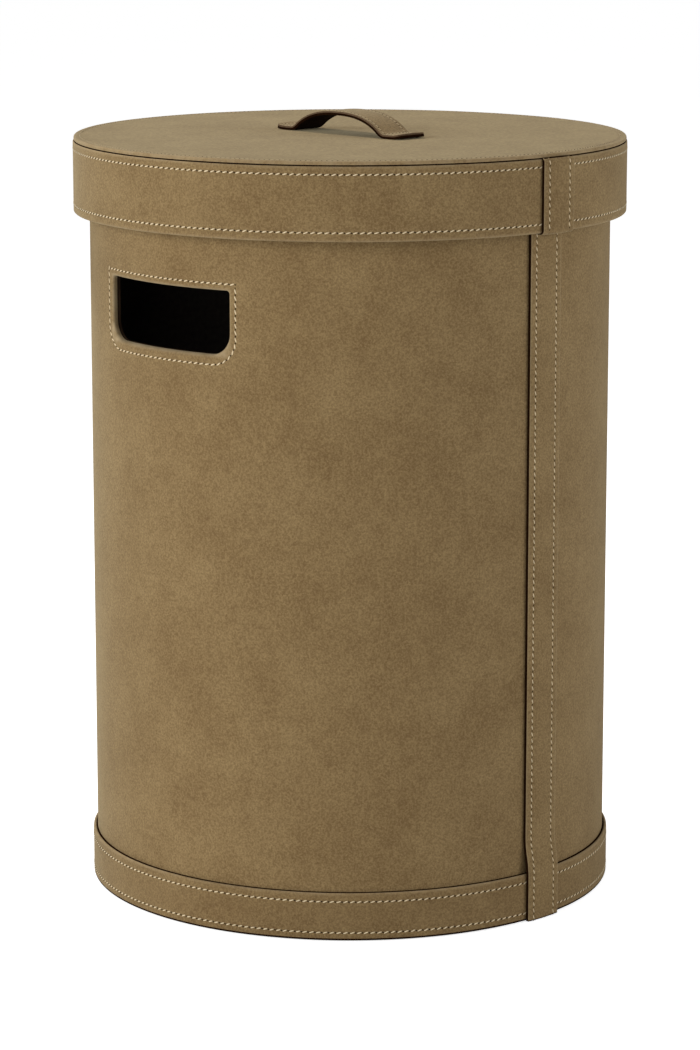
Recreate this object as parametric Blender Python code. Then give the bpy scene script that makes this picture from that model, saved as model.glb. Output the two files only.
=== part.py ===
"""Round storage hamper with a lift-off lid, built as a leather-covered board drum.

The bin stands on the XY plane, +Z up, with its axis on Z. Angles round the drum
are measured from -Y towards +X, so the seam strips lie at angle 0 and the two
grip slots at 90 degrees either side. All sizes are metres.
"""

import math

import bmesh
import bpy

# Overall sizes
BODY_RADIUS = 0.189  # outer face of the leather round the drum
LID_TOP_HEIGHT = 0.550  # top face of the lid above the floor
RIM_DEPTH = 0.0514  # how far the lid's rim comes down
BAND_HEIGHT = 0.0346  # band round the foot of the drum

# Sheets and boards, by thickness
LEATHER = 0.0011
STRIP_LEATHER = 0.0015
LINING = 0.0008
TAPE = 0.0004
WALL_BOARD = 0.003
BASE_BOARD = 0.004
BASE_FELT = 0.0015
BAND_CORE = 0.0015
RIM_BOARD = 0.003
LID_BOARD = 0.0015
LID_INNER_BOARD = 0.0022

# Clearances
GAP = 0.0003  # between pieces that touch
LID_CLEARANCE = 0.0022  # all round, between the drum and the lid
BAND_FLOOR_CLEARANCE = 0.0008  # the band hangs clear of the floor
SEAM_OPENING = 0.0006  # where the edges of a wrapped sheet meet

# Turned edges
MOUTH_HEM = 0.023  # cover turned down inside the mouth
RIM_HEM = 0.019  # lid cover turned up inside the rim
STRIP_HEM = 0.014  # lid strip turned up inside the rim
LID_DISC_INSET = 0.0006  # lid's top disc, inside the rim's face

# Seam strips and the tape behind the board's joint
STRIP_WIDTH = 0.031
STRIP_TOP_DROP = 0.002  # body strip's upper end, below the mouth
STRIP_JOG = 0.003  # height over which the strip climbs the band
TAPE_WIDTH = 0.024

# Grip slots
GRIP_WIDTH = 0.118
GRIP_HEIGHT = 0.045
GRIP_DROP = 0.0375  # slot's top edge, below the lid's rim
GRIP_LOWER_CORNER = 0.015
GRIP_UPPER_CORNER = 0.003
GRIP_FLANGE = 0.008  # facing's flange round the slot, inside the drum

# Handle on the lid
HANDLE_LENGTH = 0.126
HANDLE_SPAN = 0.086
HANDLE_WIDTH = 0.028
HANDLE_RISE = 0.0138
HANDLE_PLY = 0.0009
HANDLE_CORE = 0.0006
HANDLE_CORE_MARGIN = 0.0015  # core's edge, inside the plies' edges
HANDLE_FULLNESS = 2.5  # higher makes the arch flatter on top
HANDLE_SPRING = 0.8  # lower makes the arch leave the lid more steeply
HANDLE_FOOT_BLEND = 0.003

# Facets
ROUND_STEPS = 72
ARC_STEPS = 4
STRIP_STEPS = 4
GRIP_EDGE_STEPS = 12
HANDLE_STATIONS = 32
SHARP_ANGLE = math.radians(30)

# Radii of the drum, from its face inwards
COVER_INNER = BODY_RADIUS - LEATHER
BOARD_OUTER = COVER_INNER - GAP
BOARD_INNER = BOARD_OUTER - WALL_BOARD
MOUTH_HEM_OUTER = BOARD_INNER - GAP
MOUTH_HEM_INNER = MOUTH_HEM_OUTER - LEATHER
TAPE_OUTER = BOARD_INNER - GAP
TAPE_INNER = TAPE_OUTER - TAPE
LINING_OUTER = TAPE_INNER - GAP
LINING_INNER = LINING_OUTER - LINING
FACING_FLANGE_OUTER = LINING_INNER - GAP
FACING_FLANGE_INNER = FACING_FLANGE_OUTER - LEATHER
FACING_OUTER = COVER_INNER - GAP

# Radii of the band and the body's seam strip, from the drum's face outwards
ON_DRUM = BODY_RADIUS + GAP
BAND_CORE_OUTER = ON_DRUM + BAND_CORE
BAND_INNER = BAND_CORE_OUTER + GAP
BAND_OUTER = BAND_INNER + LEATHER
BODY_STRIP_OUTER = ON_DRUM + STRIP_LEATHER

# Radii of the lid's rim, from its opening outwards
LID_STRIP_HEM_INNER = BODY_STRIP_OUTER + LID_CLEARANCE
LID_STRIP_HEM_OUTER = LID_STRIP_HEM_INNER + STRIP_LEATHER
RIM_HEM_INNER = LID_STRIP_HEM_OUTER + GAP
RIM_HEM_OUTER = RIM_HEM_INNER + LEATHER
RIM_BOARD_INNER = RIM_HEM_OUTER + GAP
RIM_BOARD_OUTER = RIM_BOARD_INNER + RIM_BOARD
RIM_COVER_INNER = RIM_BOARD_OUTER + GAP
RIM_RADIUS = RIM_COVER_INNER + LEATHER
LID_STRIP_INNER = RIM_RADIUS + GAP
LID_STRIP_OUTER = LID_STRIP_INNER + STRIP_LEATHER
DISC_RADIUS = RIM_RADIUS - LID_DISC_INSET

# Heights of the lid, from its top face down
LID_BOARD_TOP = LID_TOP_HEIGHT - LEATHER - GAP
LID_BOARD_BOTTOM = LID_BOARD_TOP - LID_BOARD
RIM_TOP = LID_BOARD_BOTTOM - GAP
RIM_BOTTOM = RIM_TOP - RIM_DEPTH
INNER_BOARD_BOTTOM = RIM_TOP - LID_INNER_BOARD
LID_LINING_TOP = INNER_BOARD_BOTTOM - GAP
LID_LINING_BOTTOM = LID_LINING_TOP - LINING

# Heights of the drum; its mouth carries the lid
MOUTH = LID_LINING_BOTTOM - GAP
BOARD_TOP = MOUTH - LEATHER - GAP
DRUM_BOTTOM = BASE_FELT + GAP
BASE_BOARD_TOP = DRUM_BOTTOM + BASE_BOARD
FLOOR_LINING_BOTTOM = BASE_BOARD_TOP + GAP
FLOOR_LINING_TOP = FLOOR_LINING_BOTTOM + LINING
BAND_TOP = BAND_FLOOR_CLEARANCE + BAND_HEIGHT
GRIP_TOP = RIM_BOTTOM - GRIP_DROP
GRIP_MIDDLE = GRIP_TOP - GRIP_HEIGHT / 2

# Angles round the drum: the seam is at the front, a second board joint at the back
SEAM_ANGLE = SEAM_OPENING / 2 / BODY_RADIUS
FRONT = 0.0
BACK = math.pi
FULL_CIRCLE = (0.0, math.tau)
WRAPPED = (SEAM_ANGLE, math.tau - SEAM_ANGLE)
RIGHT_HALF = (SEAM_ANGLE, BACK - SEAM_ANGLE)
LEFT_HALF = (BACK + SEAM_ANGLE, math.tau - SEAM_ANGLE)

# Finishes: base colour, roughness
NUBUCK = ((0.26, 0.175, 0.085), 0.85)
NUBUCK_DARK = ((0.21, 0.14, 0.068), 0.85)
LINING_CLOTH = ((0.012, 0.010, 0.009), 0.9)
GREYBOARD = ((0.30, 0.27, 0.22), 0.9)
PAPER_TAPE = ((0.55, 0.47, 0.33), 0.8)
BLACK_FELT = ((0.015, 0.014, 0.013), 0.95)


def clear_scene():
    for thing in list(bpy.data.objects):
        bpy.data.objects.remove(thing, do_unlink=True)


def give_finish(thing, finish):
    colour, roughness = finish
    material = bpy.data.materials.new(f"{thing.name}_finish")
    material.use_nodes = True
    shader = material.node_tree.nodes["Principled BSDF"]
    shader.inputs["Base Color"].default_value = (*colour, 1.0)
    shader.inputs["Roughness"].default_value = roughness
    shader.inputs["Metallic"].default_value = 0.0
    thing.data.materials.append(material)


def make_object(name, mesh, parent, finish):
    """Put a mesh in the scene as a named piece, shaded smooth where it is round."""
    thing = bpy.data.objects.new(name, mesh)
    bpy.context.scene.collection.objects.link(thing)
    thing.parent = parent
    mesh.shade_smooth()
    mesh.set_sharp_from_angle(angle=SHARP_ANGLE)
    if finish is not None:
        give_finish(thing, finish)
    return thing


def mesh_through_loops(name, loops, endless):
    """Skin a row of closed loops; an endless row meets itself, others are capped."""
    shape = bmesh.new()
    rows = [[shape.verts.new(point) for point in loop] for loop in loops]
    count = len(rows[0])
    pairs = list(zip(rows, rows[1:]))
    if endless:
        pairs.append((rows[-1], rows[0]))
    else:
        shape.faces.new(rows[0])
        shape.faces.new(rows[-1])
    for near, far in pairs:
        for i in range(count):
            j = (i + 1) % count
            shape.faces.new((near[i], near[j], far[j], far[i]))
    bmesh.ops.recalc_face_normals(shape, faces=shape.faces)
    mesh = bpy.data.meshes.new(name)
    shape.to_mesh(mesh)
    shape.free()
    return mesh


def on_drum(radius, angle, height):
    return (radius * math.sin(angle), -radius * math.cos(angle), height)


def arc(centre, radius, start, end, steps=ARC_STEPS):
    """Points of a flat arc, both ends included, angles in degrees."""
    points = []
    for i in range(steps + 1):
        angle = math.radians(start + (end - start) * i / steps)
        points.append((centre[0] + radius * math.cos(angle), centre[1] + radius * math.sin(angle)))
    return points


def turned_ring(name, profile, parent, finish, span=WRAPPED):
    """Sweep a closed (radius, height) profile round Z between the two angles of a span."""
    start, end = span
    endless = math.isclose(end - start, math.tau)
    steps = round(ROUND_STEPS * (end - start) / math.tau)
    stations = range(steps) if endless else range(steps + 1)
    loops = []
    for i in stations:
        angle = start + (end - start) * i / steps
        loops.append([on_drum(radius, angle, height) for radius, height in profile])
    return make_object(name, mesh_through_loops(name, loops, endless), parent, finish)


def turned_solid(name, profile, parent, finish):
    """Turn a (radius, height) profile whose two ends close with flat faces."""
    angles = [math.tau * i / ROUND_STEPS for i in range(ROUND_STEPS)]
    loops = [[on_drum(radius, angle, height) for angle in angles] for radius, height in profile]
    return make_object(name, mesh_through_loops(name, loops, False), parent, finish)


def disc(name, radius, bottom, top, parent, finish):
    return turned_solid(name, [(radius, bottom), (radius, top)], parent, finish)


def tube(name, inner, outer, bottom, top, parent, finish, span=WRAPPED):
    profile = [(inner, bottom), (outer, bottom), (outer, top), (inner, top)]
    return turned_ring(name, profile, parent, finish, span)


def curved_strip(name, width, stations, middle, parent, finish):
    """Bend a strip round the drum about its middle angle.

    Each station is an inner and an outer (radius, height).
    """
    half_angle = width / 2 / stations[0][1][0]
    shares = [2 * i / STRIP_STEPS - 1 for i in range(STRIP_STEPS + 1)]
    angles = [middle + half_angle * share for share in shares]
    loops = []
    for inner, outer in stations:
        inside = [on_drum(inner[0], angle, inner[1]) for angle in angles]
        outside = [on_drum(outer[0], angle, outer[1]) for angle in reversed(angles)]
        loops.append(inside + outside)
    return make_object(name, mesh_through_loops(name, loops, False), parent, finish)


def grip_outline(margin):
    """Slot outline in (y, z), grown by a margin: square-topped, round-bottomed."""
    half_width = GRIP_WIDTH / 2 + margin
    half_height = GRIP_HEIGHT / 2 + margin
    lower = GRIP_LOWER_CORNER + margin
    upper = GRIP_UPPER_CORNER + margin
    floor = GRIP_MIDDLE - half_height
    roof = GRIP_MIDDLE + half_height
    points = arc((half_width - lower, floor + lower), lower, -90, 0)
    points += arc((half_width - upper, roof - upper), upper, 0, 90)
    points += straight_run(half_width - upper, upper - half_width, roof)
    points += arc((upper - half_width, roof - upper), upper, 90, 180)
    points += arc((lower - half_width, floor + lower), lower, 180, 270)
    points += straight_run(lower - half_width, half_width - lower, floor)
    return points


def straight_run(start, end, height):
    """Points between two corners, both left out, so that an edge can follow the drum."""
    inner = range(1, GRIP_EDGE_STEPS)
    return [(start + (end - start) * i / GRIP_EDGE_STEPS, height) for i in inner]


def grip_cutter(name, margin):
    """One bar through the drum from side to side, which cuts both slots."""
    reach = BODY_RADIUS * 1.2
    outline = grip_outline(margin)
    loops = [[(x, y, z) for y, z in outline] for x in (-reach, reach)]
    cutter = make_object(name, mesh_through_loops(name, loops, False), None, None)
    cutter.hide_render = True
    cutter.display_type = "WIRE"
    return cutter


def cut_slots(thing, cutter):
    cut = thing.modifiers.new("grip_slots", "BOOLEAN")
    cut.operation = "DIFFERENCE"
    cut.object = cutter
    cut.solver = "EXACT"


def grip_facing(name, side, parent):
    """Leather frame that lines a slot through the board and laps over the lining."""
    rings = [
        (0.0, FACING_OUTER),
        (LEATHER, FACING_OUTER),
        (LEATHER, FACING_FLANGE_OUTER),
        (GRIP_FLANGE, FACING_FLANGE_OUTER),
        (GRIP_FLANGE, FACING_FLANGE_INNER),
        (0.0, FACING_FLANGE_INNER),
    ]
    loops = []
    for margin, radius in rings:
        outline = grip_outline(margin)
        loops.append([(side * math.sqrt(radius**2 - y**2), y, z) for y, z in outline])
    return make_object(name, mesh_through_loops(name, loops, True), parent, NUBUCK)


def build_base(parent):
    disc("base_felt", BOARD_OUTER, 0.0, BASE_FELT, parent, BLACK_FELT)
    disc("base_board", BOARD_INNER - GAP, DRUM_BOTTOM, BASE_BOARD_TOP, parent, GREYBOARD)
    floor_radius = LINING_INNER - GAP
    disc("floor_lining", floor_radius, FLOOR_LINING_BOTTOM, FLOOR_LINING_TOP, parent, LINING_CLOTH)


def build_wall(parent):
    opening_cutter = grip_cutter("cover_slot_cutter", 0.0)
    board_cutter = grip_cutter("board_slot_cutter", LEATHER + GAP)
    for side, span in (("left", LEFT_HALF), ("right", RIGHT_HALF)):
        name = f"body_board_{side}"
        board = tube(name, BOARD_INNER, BOARD_OUTER, DRUM_BOTTOM, BOARD_TOP, parent, GREYBOARD, span)
        cut_slots(board, board_cutter)
    hem_end = MOUTH - MOUTH_HEM
    lining_top = hem_end - GAP
    lining_bottom = FLOOR_LINING_BOTTOM
    lining = tube(
        "body_lining",
        LINING_INNER,
        LINING_OUTER,
        lining_bottom,
        lining_top,
        parent,
        LINING_CLOTH,
        FULL_CIRCLE,
    )
    cut_slots(lining, board_cutter)
    cover = body_cover(hem_end, parent)
    cut_slots(cover, opening_cutter)
    stations = [((TAPE_INNER, height), (TAPE_OUTER, height)) for height in (lining_bottom, lining_top)]
    curved_strip("board_joint_tape_front", TAPE_WIDTH, stations, FRONT, parent, PAPER_TAPE)
    curved_strip("board_joint_tape_back", TAPE_WIDTH, stations, BACK, parent, PAPER_TAPE)
    grip_facing("grip_facing_left", -1, parent)
    grip_facing("grip_facing_right", 1, parent)


def body_cover(hem_end, parent):
    """Leather round the drum, folded over the board's edge and down inside the mouth."""
    profile = [(COVER_INNER, DRUM_BOTTOM), (BODY_RADIUS, DRUM_BOTTOM)]
    profile += arc((COVER_INNER, MOUTH - LEATHER), LEATHER, 0, 90, 2)
    profile += arc((MOUTH_HEM_OUTER, MOUTH - LEATHER), LEATHER, 90, 180, 2)
    profile += [(MOUTH_HEM_INNER, hem_end), (MOUTH_HEM_OUTER, hem_end)]
    profile += [(MOUTH_HEM_OUTER, MOUTH - LEATHER), (COVER_INNER, MOUTH - LEATHER)]
    return turned_ring("body_cover", profile, parent, NUBUCK)


def build_band(parent):
    bottom = BAND_FLOOR_CLEARANCE
    core_bottom = bottom + LEATHER + GAP
    core_top = BAND_TOP - LEATHER - GAP
    tube("base_band_core", ON_DRUM, BAND_CORE_OUTER, core_bottom, core_top, parent, GREYBOARD)
    profile = [(ON_DRUM, bottom)]
    profile += arc((BAND_INNER, bottom + LEATHER), LEATHER, -90, 0, 2)
    profile += arc((BAND_INNER, BAND_TOP - LEATHER), LEATHER, 0, 90, 2)
    profile += [(ON_DRUM, BAND_TOP), (ON_DRUM, BAND_TOP - LEATHER)]
    profile += [(BAND_INNER, BAND_TOP - LEATHER), (BAND_INNER, bottom + LEATHER)]
    profile += [(ON_DRUM, bottom + LEATHER)]
    turned_ring("base_band_cover", profile, parent, NUBUCK_DARK)


def build_body_strip(parent):
    """Strip over the cover's seam, from under the lid down across the band."""
    bottom = BAND_FLOOR_CLEARANCE
    over_band = BAND_OUTER + GAP
    shoulder = BAND_TOP + GAP
    thickness = STRIP_LEATHER
    stations = [
        ((over_band, bottom), (over_band + thickness, bottom)),
        ((over_band, shoulder), (over_band + thickness, shoulder + thickness / 2)),
        ((ON_DRUM, shoulder + thickness), (ON_DRUM + thickness, shoulder + STRIP_JOG + thickness)),
        ((ON_DRUM, MOUTH - STRIP_TOP_DROP), (ON_DRUM + thickness, MOUTH - STRIP_TOP_DROP)),
    ]
    curved_strip("body_seam_strip", STRIP_WIDTH, stations, FRONT, parent, NUBUCK)


def build_lid_top(parent):
    """Covered disc, the board that centres it in the rim, and its lining."""
    disc("lid_board", DISC_RADIUS - LEATHER - GAP, LID_BOARD_BOTTOM, LID_BOARD_TOP, parent, GREYBOARD)
    inner_radius = RIM_HEM_OUTER - GAP
    disc("lid_inner_board", inner_radius, INNER_BOARD_BOTTOM, RIM_TOP, parent, GREYBOARD)
    lining_radius = RIM_HEM_INNER - GAP
    disc("lid_lining", lining_radius, LID_LINING_BOTTOM, LID_LINING_TOP, parent, LINING_CLOTH)
    inside = DISC_RADIUS - LEATHER
    underside = LID_TOP_HEIGHT - LEATHER
    profile = [(inside, underside), (inside, LID_BOARD_BOTTOM), (DISC_RADIUS, LID_BOARD_BOTTOM)]
    profile += arc((inside, underside), LEATHER, 0, 90, 3)
    turned_solid("lid_top_cover", profile, parent, NUBUCK)


def build_lid_rim(parent):
    board_bottom = RIM_BOTTOM + LEATHER + GAP
    board_top = RIM_TOP - LEATHER - GAP
    tube("lid_rim_board", RIM_BOARD_INNER, RIM_BOARD_OUTER, board_bottom, board_top, parent, GREYBOARD)
    hem_end = RIM_BOTTOM + RIM_HEM
    lining_inner = RIM_HEM_OUTER - LINING
    tube(
        "lid_rim_lining",
        lining_inner,
        RIM_HEM_OUTER,
        hem_end + GAP,
        LID_LINING_TOP,
        parent,
        LINING_CLOTH,
        FULL_CIRCLE,
    )
    profile = [(RIM_BOARD_INNER, RIM_TOP)]
    profile += [(RIM_BOARD_INNER, RIM_TOP - LEATHER), (RIM_COVER_INNER, RIM_TOP - LEATHER)]
    profile += [(RIM_COVER_INNER, RIM_BOTTOM + LEATHER), (RIM_HEM_OUTER, RIM_BOTTOM + LEATHER)]
    profile += [(RIM_HEM_OUTER, hem_end), (RIM_HEM_INNER, hem_end)]
    profile += arc((RIM_HEM_OUTER, RIM_BOTTOM + LEATHER), LEATHER, 180, 270, 2)
    profile += arc((RIM_COVER_INNER, RIM_BOTTOM + LEATHER), LEATHER, 270, 360, 2)
    profile += arc((RIM_COVER_INNER, RIM_TOP - LEATHER), LEATHER, 0, 90, 2)
    turned_ring("lid_rim_cover", profile, parent, NUBUCK)


def build_lid_strip(parent):
    """Strip over the rim's seam, turned under the rim and up inside it."""
    low = RIM_BOTTOM - GAP
    under = low - STRIP_LEATHER
    hem_end = RIM_BOTTOM + STRIP_HEM
    stations = [
        ((LID_STRIP_INNER, RIM_TOP), (LID_STRIP_OUTER, RIM_TOP)),
        ((LID_STRIP_INNER, low), (LID_STRIP_OUTER, low)),
        ((LID_STRIP_INNER, low), (LID_STRIP_INNER, under)),
        ((LID_STRIP_HEM_OUTER, low), (LID_STRIP_HEM_OUTER, under)),
        ((LID_STRIP_HEM_OUTER, low), (LID_STRIP_HEM_INNER, low)),
        ((LID_STRIP_HEM_OUTER, hem_end), (LID_STRIP_HEM_INNER, hem_end)),
    ]
    curved_strip("lid_seam_strip", STRIP_WIDTH, stations, FRONT, parent, NUBUCK)


def arch_height(distance):
    """Height of the handle's underside over the lid, at a distance from its middle."""
    share = min(abs(distance) / (HANDLE_SPAN / 2), 1.0)
    return HANDLE_RISE * (1 - share**HANDLE_FULLNESS) ** HANDLE_SPRING


def blended_height(distance):
    """The arch, averaged over a short stretch so that it flows into its feet."""
    steps = range(-2, 3)
    heights = [arch_height(distance + HANDLE_FOOT_BLEND * step / 2) for step in steps]
    return sum(heights) / len(heights)


def handle_path(length, offset):
    """Points (y, z) of the arch from end to end, moved out along its normal."""
    path = []
    for i in range(HANDLE_STATIONS + 1):
        distance = length / 2 * (2 * i / HANDLE_STATIONS - 1)
        step = HANDLE_FOOT_BLEND / 4
        rise = blended_height(distance + step) - blended_height(distance - step)
        slope = math.atan2(rise, 2 * step)
        y = distance - offset * math.sin(slope)
        z = LID_TOP_HEIGHT + GAP + blended_height(distance) + offset * math.cos(slope)
        path.append((y, z))
    return path


def handle_layer(name, lower, upper, margin, parent, finish):
    """One layer of the strap, between two offsets from its underside."""
    length = HANDLE_LENGTH - 2 * margin
    half_width = HANDLE_WIDTH / 2 - margin
    below = handle_path(length, lower)
    above = handle_path(length, upper)
    loops = []
    for low, high in zip(below, above):
        loops.append(
            [
                (-half_width, *low),
                (half_width, *low),
                (half_width, *high),
                (-half_width, *high),
            ]
        )
    return make_object(name, mesh_through_loops(name, loops, False), parent, finish)


def build_handle(parent):
    core_lower = HANDLE_PLY + GAP
    core_upper = core_lower + HANDLE_CORE
    top_lower = core_upper + GAP
    handle_layer("handle_under_ply", 0.0, HANDLE_PLY, 0.0, parent, NUBUCK_DARK)
    handle_layer("handle_core", core_lower, core_upper, HANDLE_CORE_MARGIN, parent, GREYBOARD)
    handle_layer("handle_top_ply", top_lower, top_lower + HANDLE_PLY, 0.0, parent, NUBUCK)


def main():
    clear_scene()
    bin_frame = bpy.data.objects.new("bin_frame", None)
    bpy.context.scene.collection.objects.link(bin_frame)
    lid_lift_axis = bpy.data.objects.new("lid_lift_axis", None)
    bpy.context.scene.collection.objects.link(lid_lift_axis)
    lid_lift_axis.parent = bin_frame
    build_base(bin_frame)
    build_wall(bin_frame)
    build_band(bin_frame)
    build_body_strip(bin_frame)
    build_lid_top(lid_lift_axis)
    build_lid_rim(lid_lift_axis)
    build_lid_strip(lid_lift_axis)
    build_handle(lid_lift_axis)


main()
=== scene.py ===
# %% [markdown]
# # A round storage bin wrapped in nubuck leather
#
# The real bin is a drum of stiff board. A leather cover is glued round it, and its
# edges meet under a stitched seam strip. A stitched band goes round the foot, a hand
# slot is cut in each side, and a deep lid with a strap handle lifts off. The packed
# frame already holds every solid and how it moves. This lesson makes how they look:
# leather, cloth, felt and thread.

# %% The frame and its sizes
import math

import bmesh
import bpy
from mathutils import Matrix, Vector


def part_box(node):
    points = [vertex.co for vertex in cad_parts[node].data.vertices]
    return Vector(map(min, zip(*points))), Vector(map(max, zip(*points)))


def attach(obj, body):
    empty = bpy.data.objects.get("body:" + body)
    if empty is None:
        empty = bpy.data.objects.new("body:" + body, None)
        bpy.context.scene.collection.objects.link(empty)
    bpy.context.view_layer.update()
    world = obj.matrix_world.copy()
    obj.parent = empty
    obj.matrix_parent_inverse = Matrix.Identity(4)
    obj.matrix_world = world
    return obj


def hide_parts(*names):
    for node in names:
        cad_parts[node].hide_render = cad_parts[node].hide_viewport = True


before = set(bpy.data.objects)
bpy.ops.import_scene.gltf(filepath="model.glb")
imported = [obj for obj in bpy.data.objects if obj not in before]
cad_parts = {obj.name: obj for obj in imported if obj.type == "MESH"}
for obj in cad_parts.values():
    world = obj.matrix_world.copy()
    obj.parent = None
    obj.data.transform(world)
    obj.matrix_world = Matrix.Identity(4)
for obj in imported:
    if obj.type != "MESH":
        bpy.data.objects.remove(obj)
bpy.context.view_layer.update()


def reach(node):
    """How far a round node reaches from the axis, read along X."""
    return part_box(node)[1][0]


def low(node):
    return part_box(node)[0][2]


def top(node):
    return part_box(node)[1][2]


DRUM = reach("body_cover")
MOUTH = top("body_cover")
BAND = reach("base_band_cover")
BAND_LOW = low("base_band_cover")
BAND_TOP = top("base_band_cover")
RIM = reach("lid_rim_cover")
RIM_LOW = low("lid_rim_cover")
RIM_TOP = top("lid_rim_cover")
DISC = reach("lid_top_cover")
DISC_LOW = low("lid_top_cover")
LID_TOP = top("lid_top_cover")
print(f"drum {DRUM:.4f} m, lid {RIM:.4f} m in radius, lid's top at {LID_TOP:.4f} m")

# %% [markdown]
# ## Thicknesses the frame's boxes don't give
#
# A box gives outer sizes only. How thick the leather is, how deep the hems are and
# where the stitch rows run are a maker's choices, so they are named here once. Turned
# leather is skived, so those pieces are thinned to a share of the full thickness.

# %% Leather, cloth and stitch sizes
MM = 0.001
PLY = 1.1 * MM
STRIP_PLY = 2.4 * MM
CLOTH = 0.8 * MM
GAP = 0.3 * MM
RIM_BOARD = 3.0 * MM
WALL_BOARD = 3.0 * MM
THINNED = 0.9
RIM_HEM_FACE = RIM - 2 * PLY - RIM_BOARD - 2 * GAP
RIM_HEM = 19 * MM
MOUTH_HEM = 23 * MM
STRIP_HEM = 14 * MM
STRIP_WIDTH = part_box("body_seam_strip")[1][0] * 2
SLOT_FLANGE = 8 * MM
SLOT_LOWER_CORNER = 15 * MM
SLOT_UPPER_CORNER = 2.4 * MM
STITCH_DIP = 0.16 * MM
RIM_UPPER_ROW = RIM_TOP - 5.8 * MM
RIM_LOWER_ROW = RIM_LOW + 6.2 * MM
BAND_UPPER_ROW = BAND_TOP - 6.2 * MM
BAND_LOWER_ROW = BAND_LOW + 5.8 * MM
DISC_ROW = DISC - 4.6 * MM
STRIP_ROW = 10.3 * MM
SLOT_ROW = 5.4 * MM
SLOT_ROW_ABOVE = 4.8 * MM
SLOT_ROW_BELOW = 6.8 * MM
facing_low, facing_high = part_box("grip_facing_right")
SLOT_HALF_WIDTH = facing_high[1] - SLOT_FLANGE
SLOT_LOW = facing_low[2] + SLOT_FLANGE
SLOT_TOP = facing_high[2] - SLOT_FLANGE
print(f"hand slot {2 * SLOT_HALF_WIDTH:.3f} x {SLOT_TOP - SLOT_LOW:.3f} m, strip {STRIP_WIDTH:.3f} m wide")

# %% [markdown]
# ## Camera, floor and light
#
# The bin stands on a pale floor in soft studio light. The camera looks down a little
# from the front left, through a long lens. The main light is a large panel on the
# left, a slightly weaker one fills the right, and a small one hangs high behind.

# %% Camera
CAMERA_BEARING = math.radians(-45.5)
CAMERA_DISTANCE = 2.706
CAMERA_HEIGHT = 0.8059
CAMERA_PITCH = 0.1989
CAMERA_LENS = 127.9


def round_axis(radius, angle, height):
    """A point at an angle round the bin, counted from the seam at -Y towards +X."""
    return (radius * math.sin(angle), -radius * math.cos(angle), height)


lens = bpy.data.cameras.new("studio_camera")
lens.lens = CAMERA_LENS
camera = bpy.data.objects.new("studio_camera", lens)
camera.location = round_axis(CAMERA_DISTANCE, CAMERA_BEARING, CAMERA_HEIGHT)
camera.rotation_euler = (math.pi / 2 - CAMERA_PITCH, 0, CAMERA_BEARING)
bpy.context.scene.collection.objects.link(camera)
bpy.context.scene.camera = camera
bpy.context.scene.view_settings.view_transform = "Standard"
print("camera at", [round(value, 3) for value in camera.location])

# %% Floor and lights
FLOOR_SIZE = 60.0
FLOOR_GLOW = 0.78
AMBIENT = 0.25


def panel_light(name, bearing, distance, height, size, power, aim):
    """A square soft light at a bearing round the bin, turned to face a height on it."""
    data = bpy.data.lights.new(name, "AREA")
    data.shape = "SQUARE"
    data.size = size
    data.energy = power
    light = bpy.data.objects.new(name, data)
    light.location = round_axis(distance, math.radians(bearing), height)
    away = light.location.copy()
    away.z -= aim
    light.rotation_euler = away.to_track_quat("Z", "Y").to_euler()
    bpy.context.scene.collection.objects.link(light)


floor_mesh = bpy.data.meshes.new("studio_floor")
half = FLOOR_SIZE / 2
floor_corners = [(-half, -half, 0), (half, -half, 0), (half, half, 0), (-half, half, 0)]
floor_mesh.from_pydata(floor_corners, [], [(0, 1, 2, 3)])
floor = bpy.data.objects.new("studio_floor", floor_mesh)
bpy.context.scene.collection.objects.link(floor)
floor_finish = bpy.data.materials.new("studio_floor")
floor_finish.use_nodes = True
floor_tree = floor_finish.node_tree
floor_shader = floor_tree.nodes["Principled BSDF"]
floor_shader.inputs["Base Color"].default_value = (0.86, 0.86, 0.86, 1)
floor_shader.inputs["Roughness"].default_value = 0.9
floor_shader.inputs["Emission Color"].default_value = (1, 1, 1, 1)
floor_glow = floor_tree.nodes.new("ShaderNodeMath")
floor_glow.operation = "MULTIPLY"
floor_glow.inputs[1].default_value = FLOOR_GLOW
floor_ray = floor_tree.nodes.new("ShaderNodeLightPath")
floor_tree.links.new(floor_ray.outputs["Is Camera Ray"], floor_glow.inputs[0])
floor_tree.links.new(floor_glow.outputs[0], floor_shader.inputs["Emission Strength"])
floor_mesh.materials.append(floor_finish)

world = bpy.data.worlds.new("studio")
world.use_nodes = True
world_tree = world.node_tree
ambient = world_tree.nodes["Background"]
ambient.inputs["Color"].default_value = (1, 1, 1, 1)
world_level = world_tree.nodes.new("ShaderNodeMapRange")
world_level.inputs["To Min"].default_value = AMBIENT
world_level.inputs["To Max"].default_value = 1.0
world_ray = world_tree.nodes.new("ShaderNodeLightPath")
world_tree.links.new(world_ray.outputs["Is Camera Ray"], world_level.inputs["Value"])
world_tree.links.new(world_level.outputs["Result"], ambient.inputs["Strength"])
bpy.context.scene.world = world
panel_light("key_panel", -100, 2.4, 1.0, 1.6, 40, 0.3)
panel_light("fill_panel", 30, 3.0, 0.8, 1.8, 36, 0.3)
panel_light("top_panel", 185, 0.9, 2.7, 0.35, 29, 0.5)
print("floor, world and three panels are up")
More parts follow.
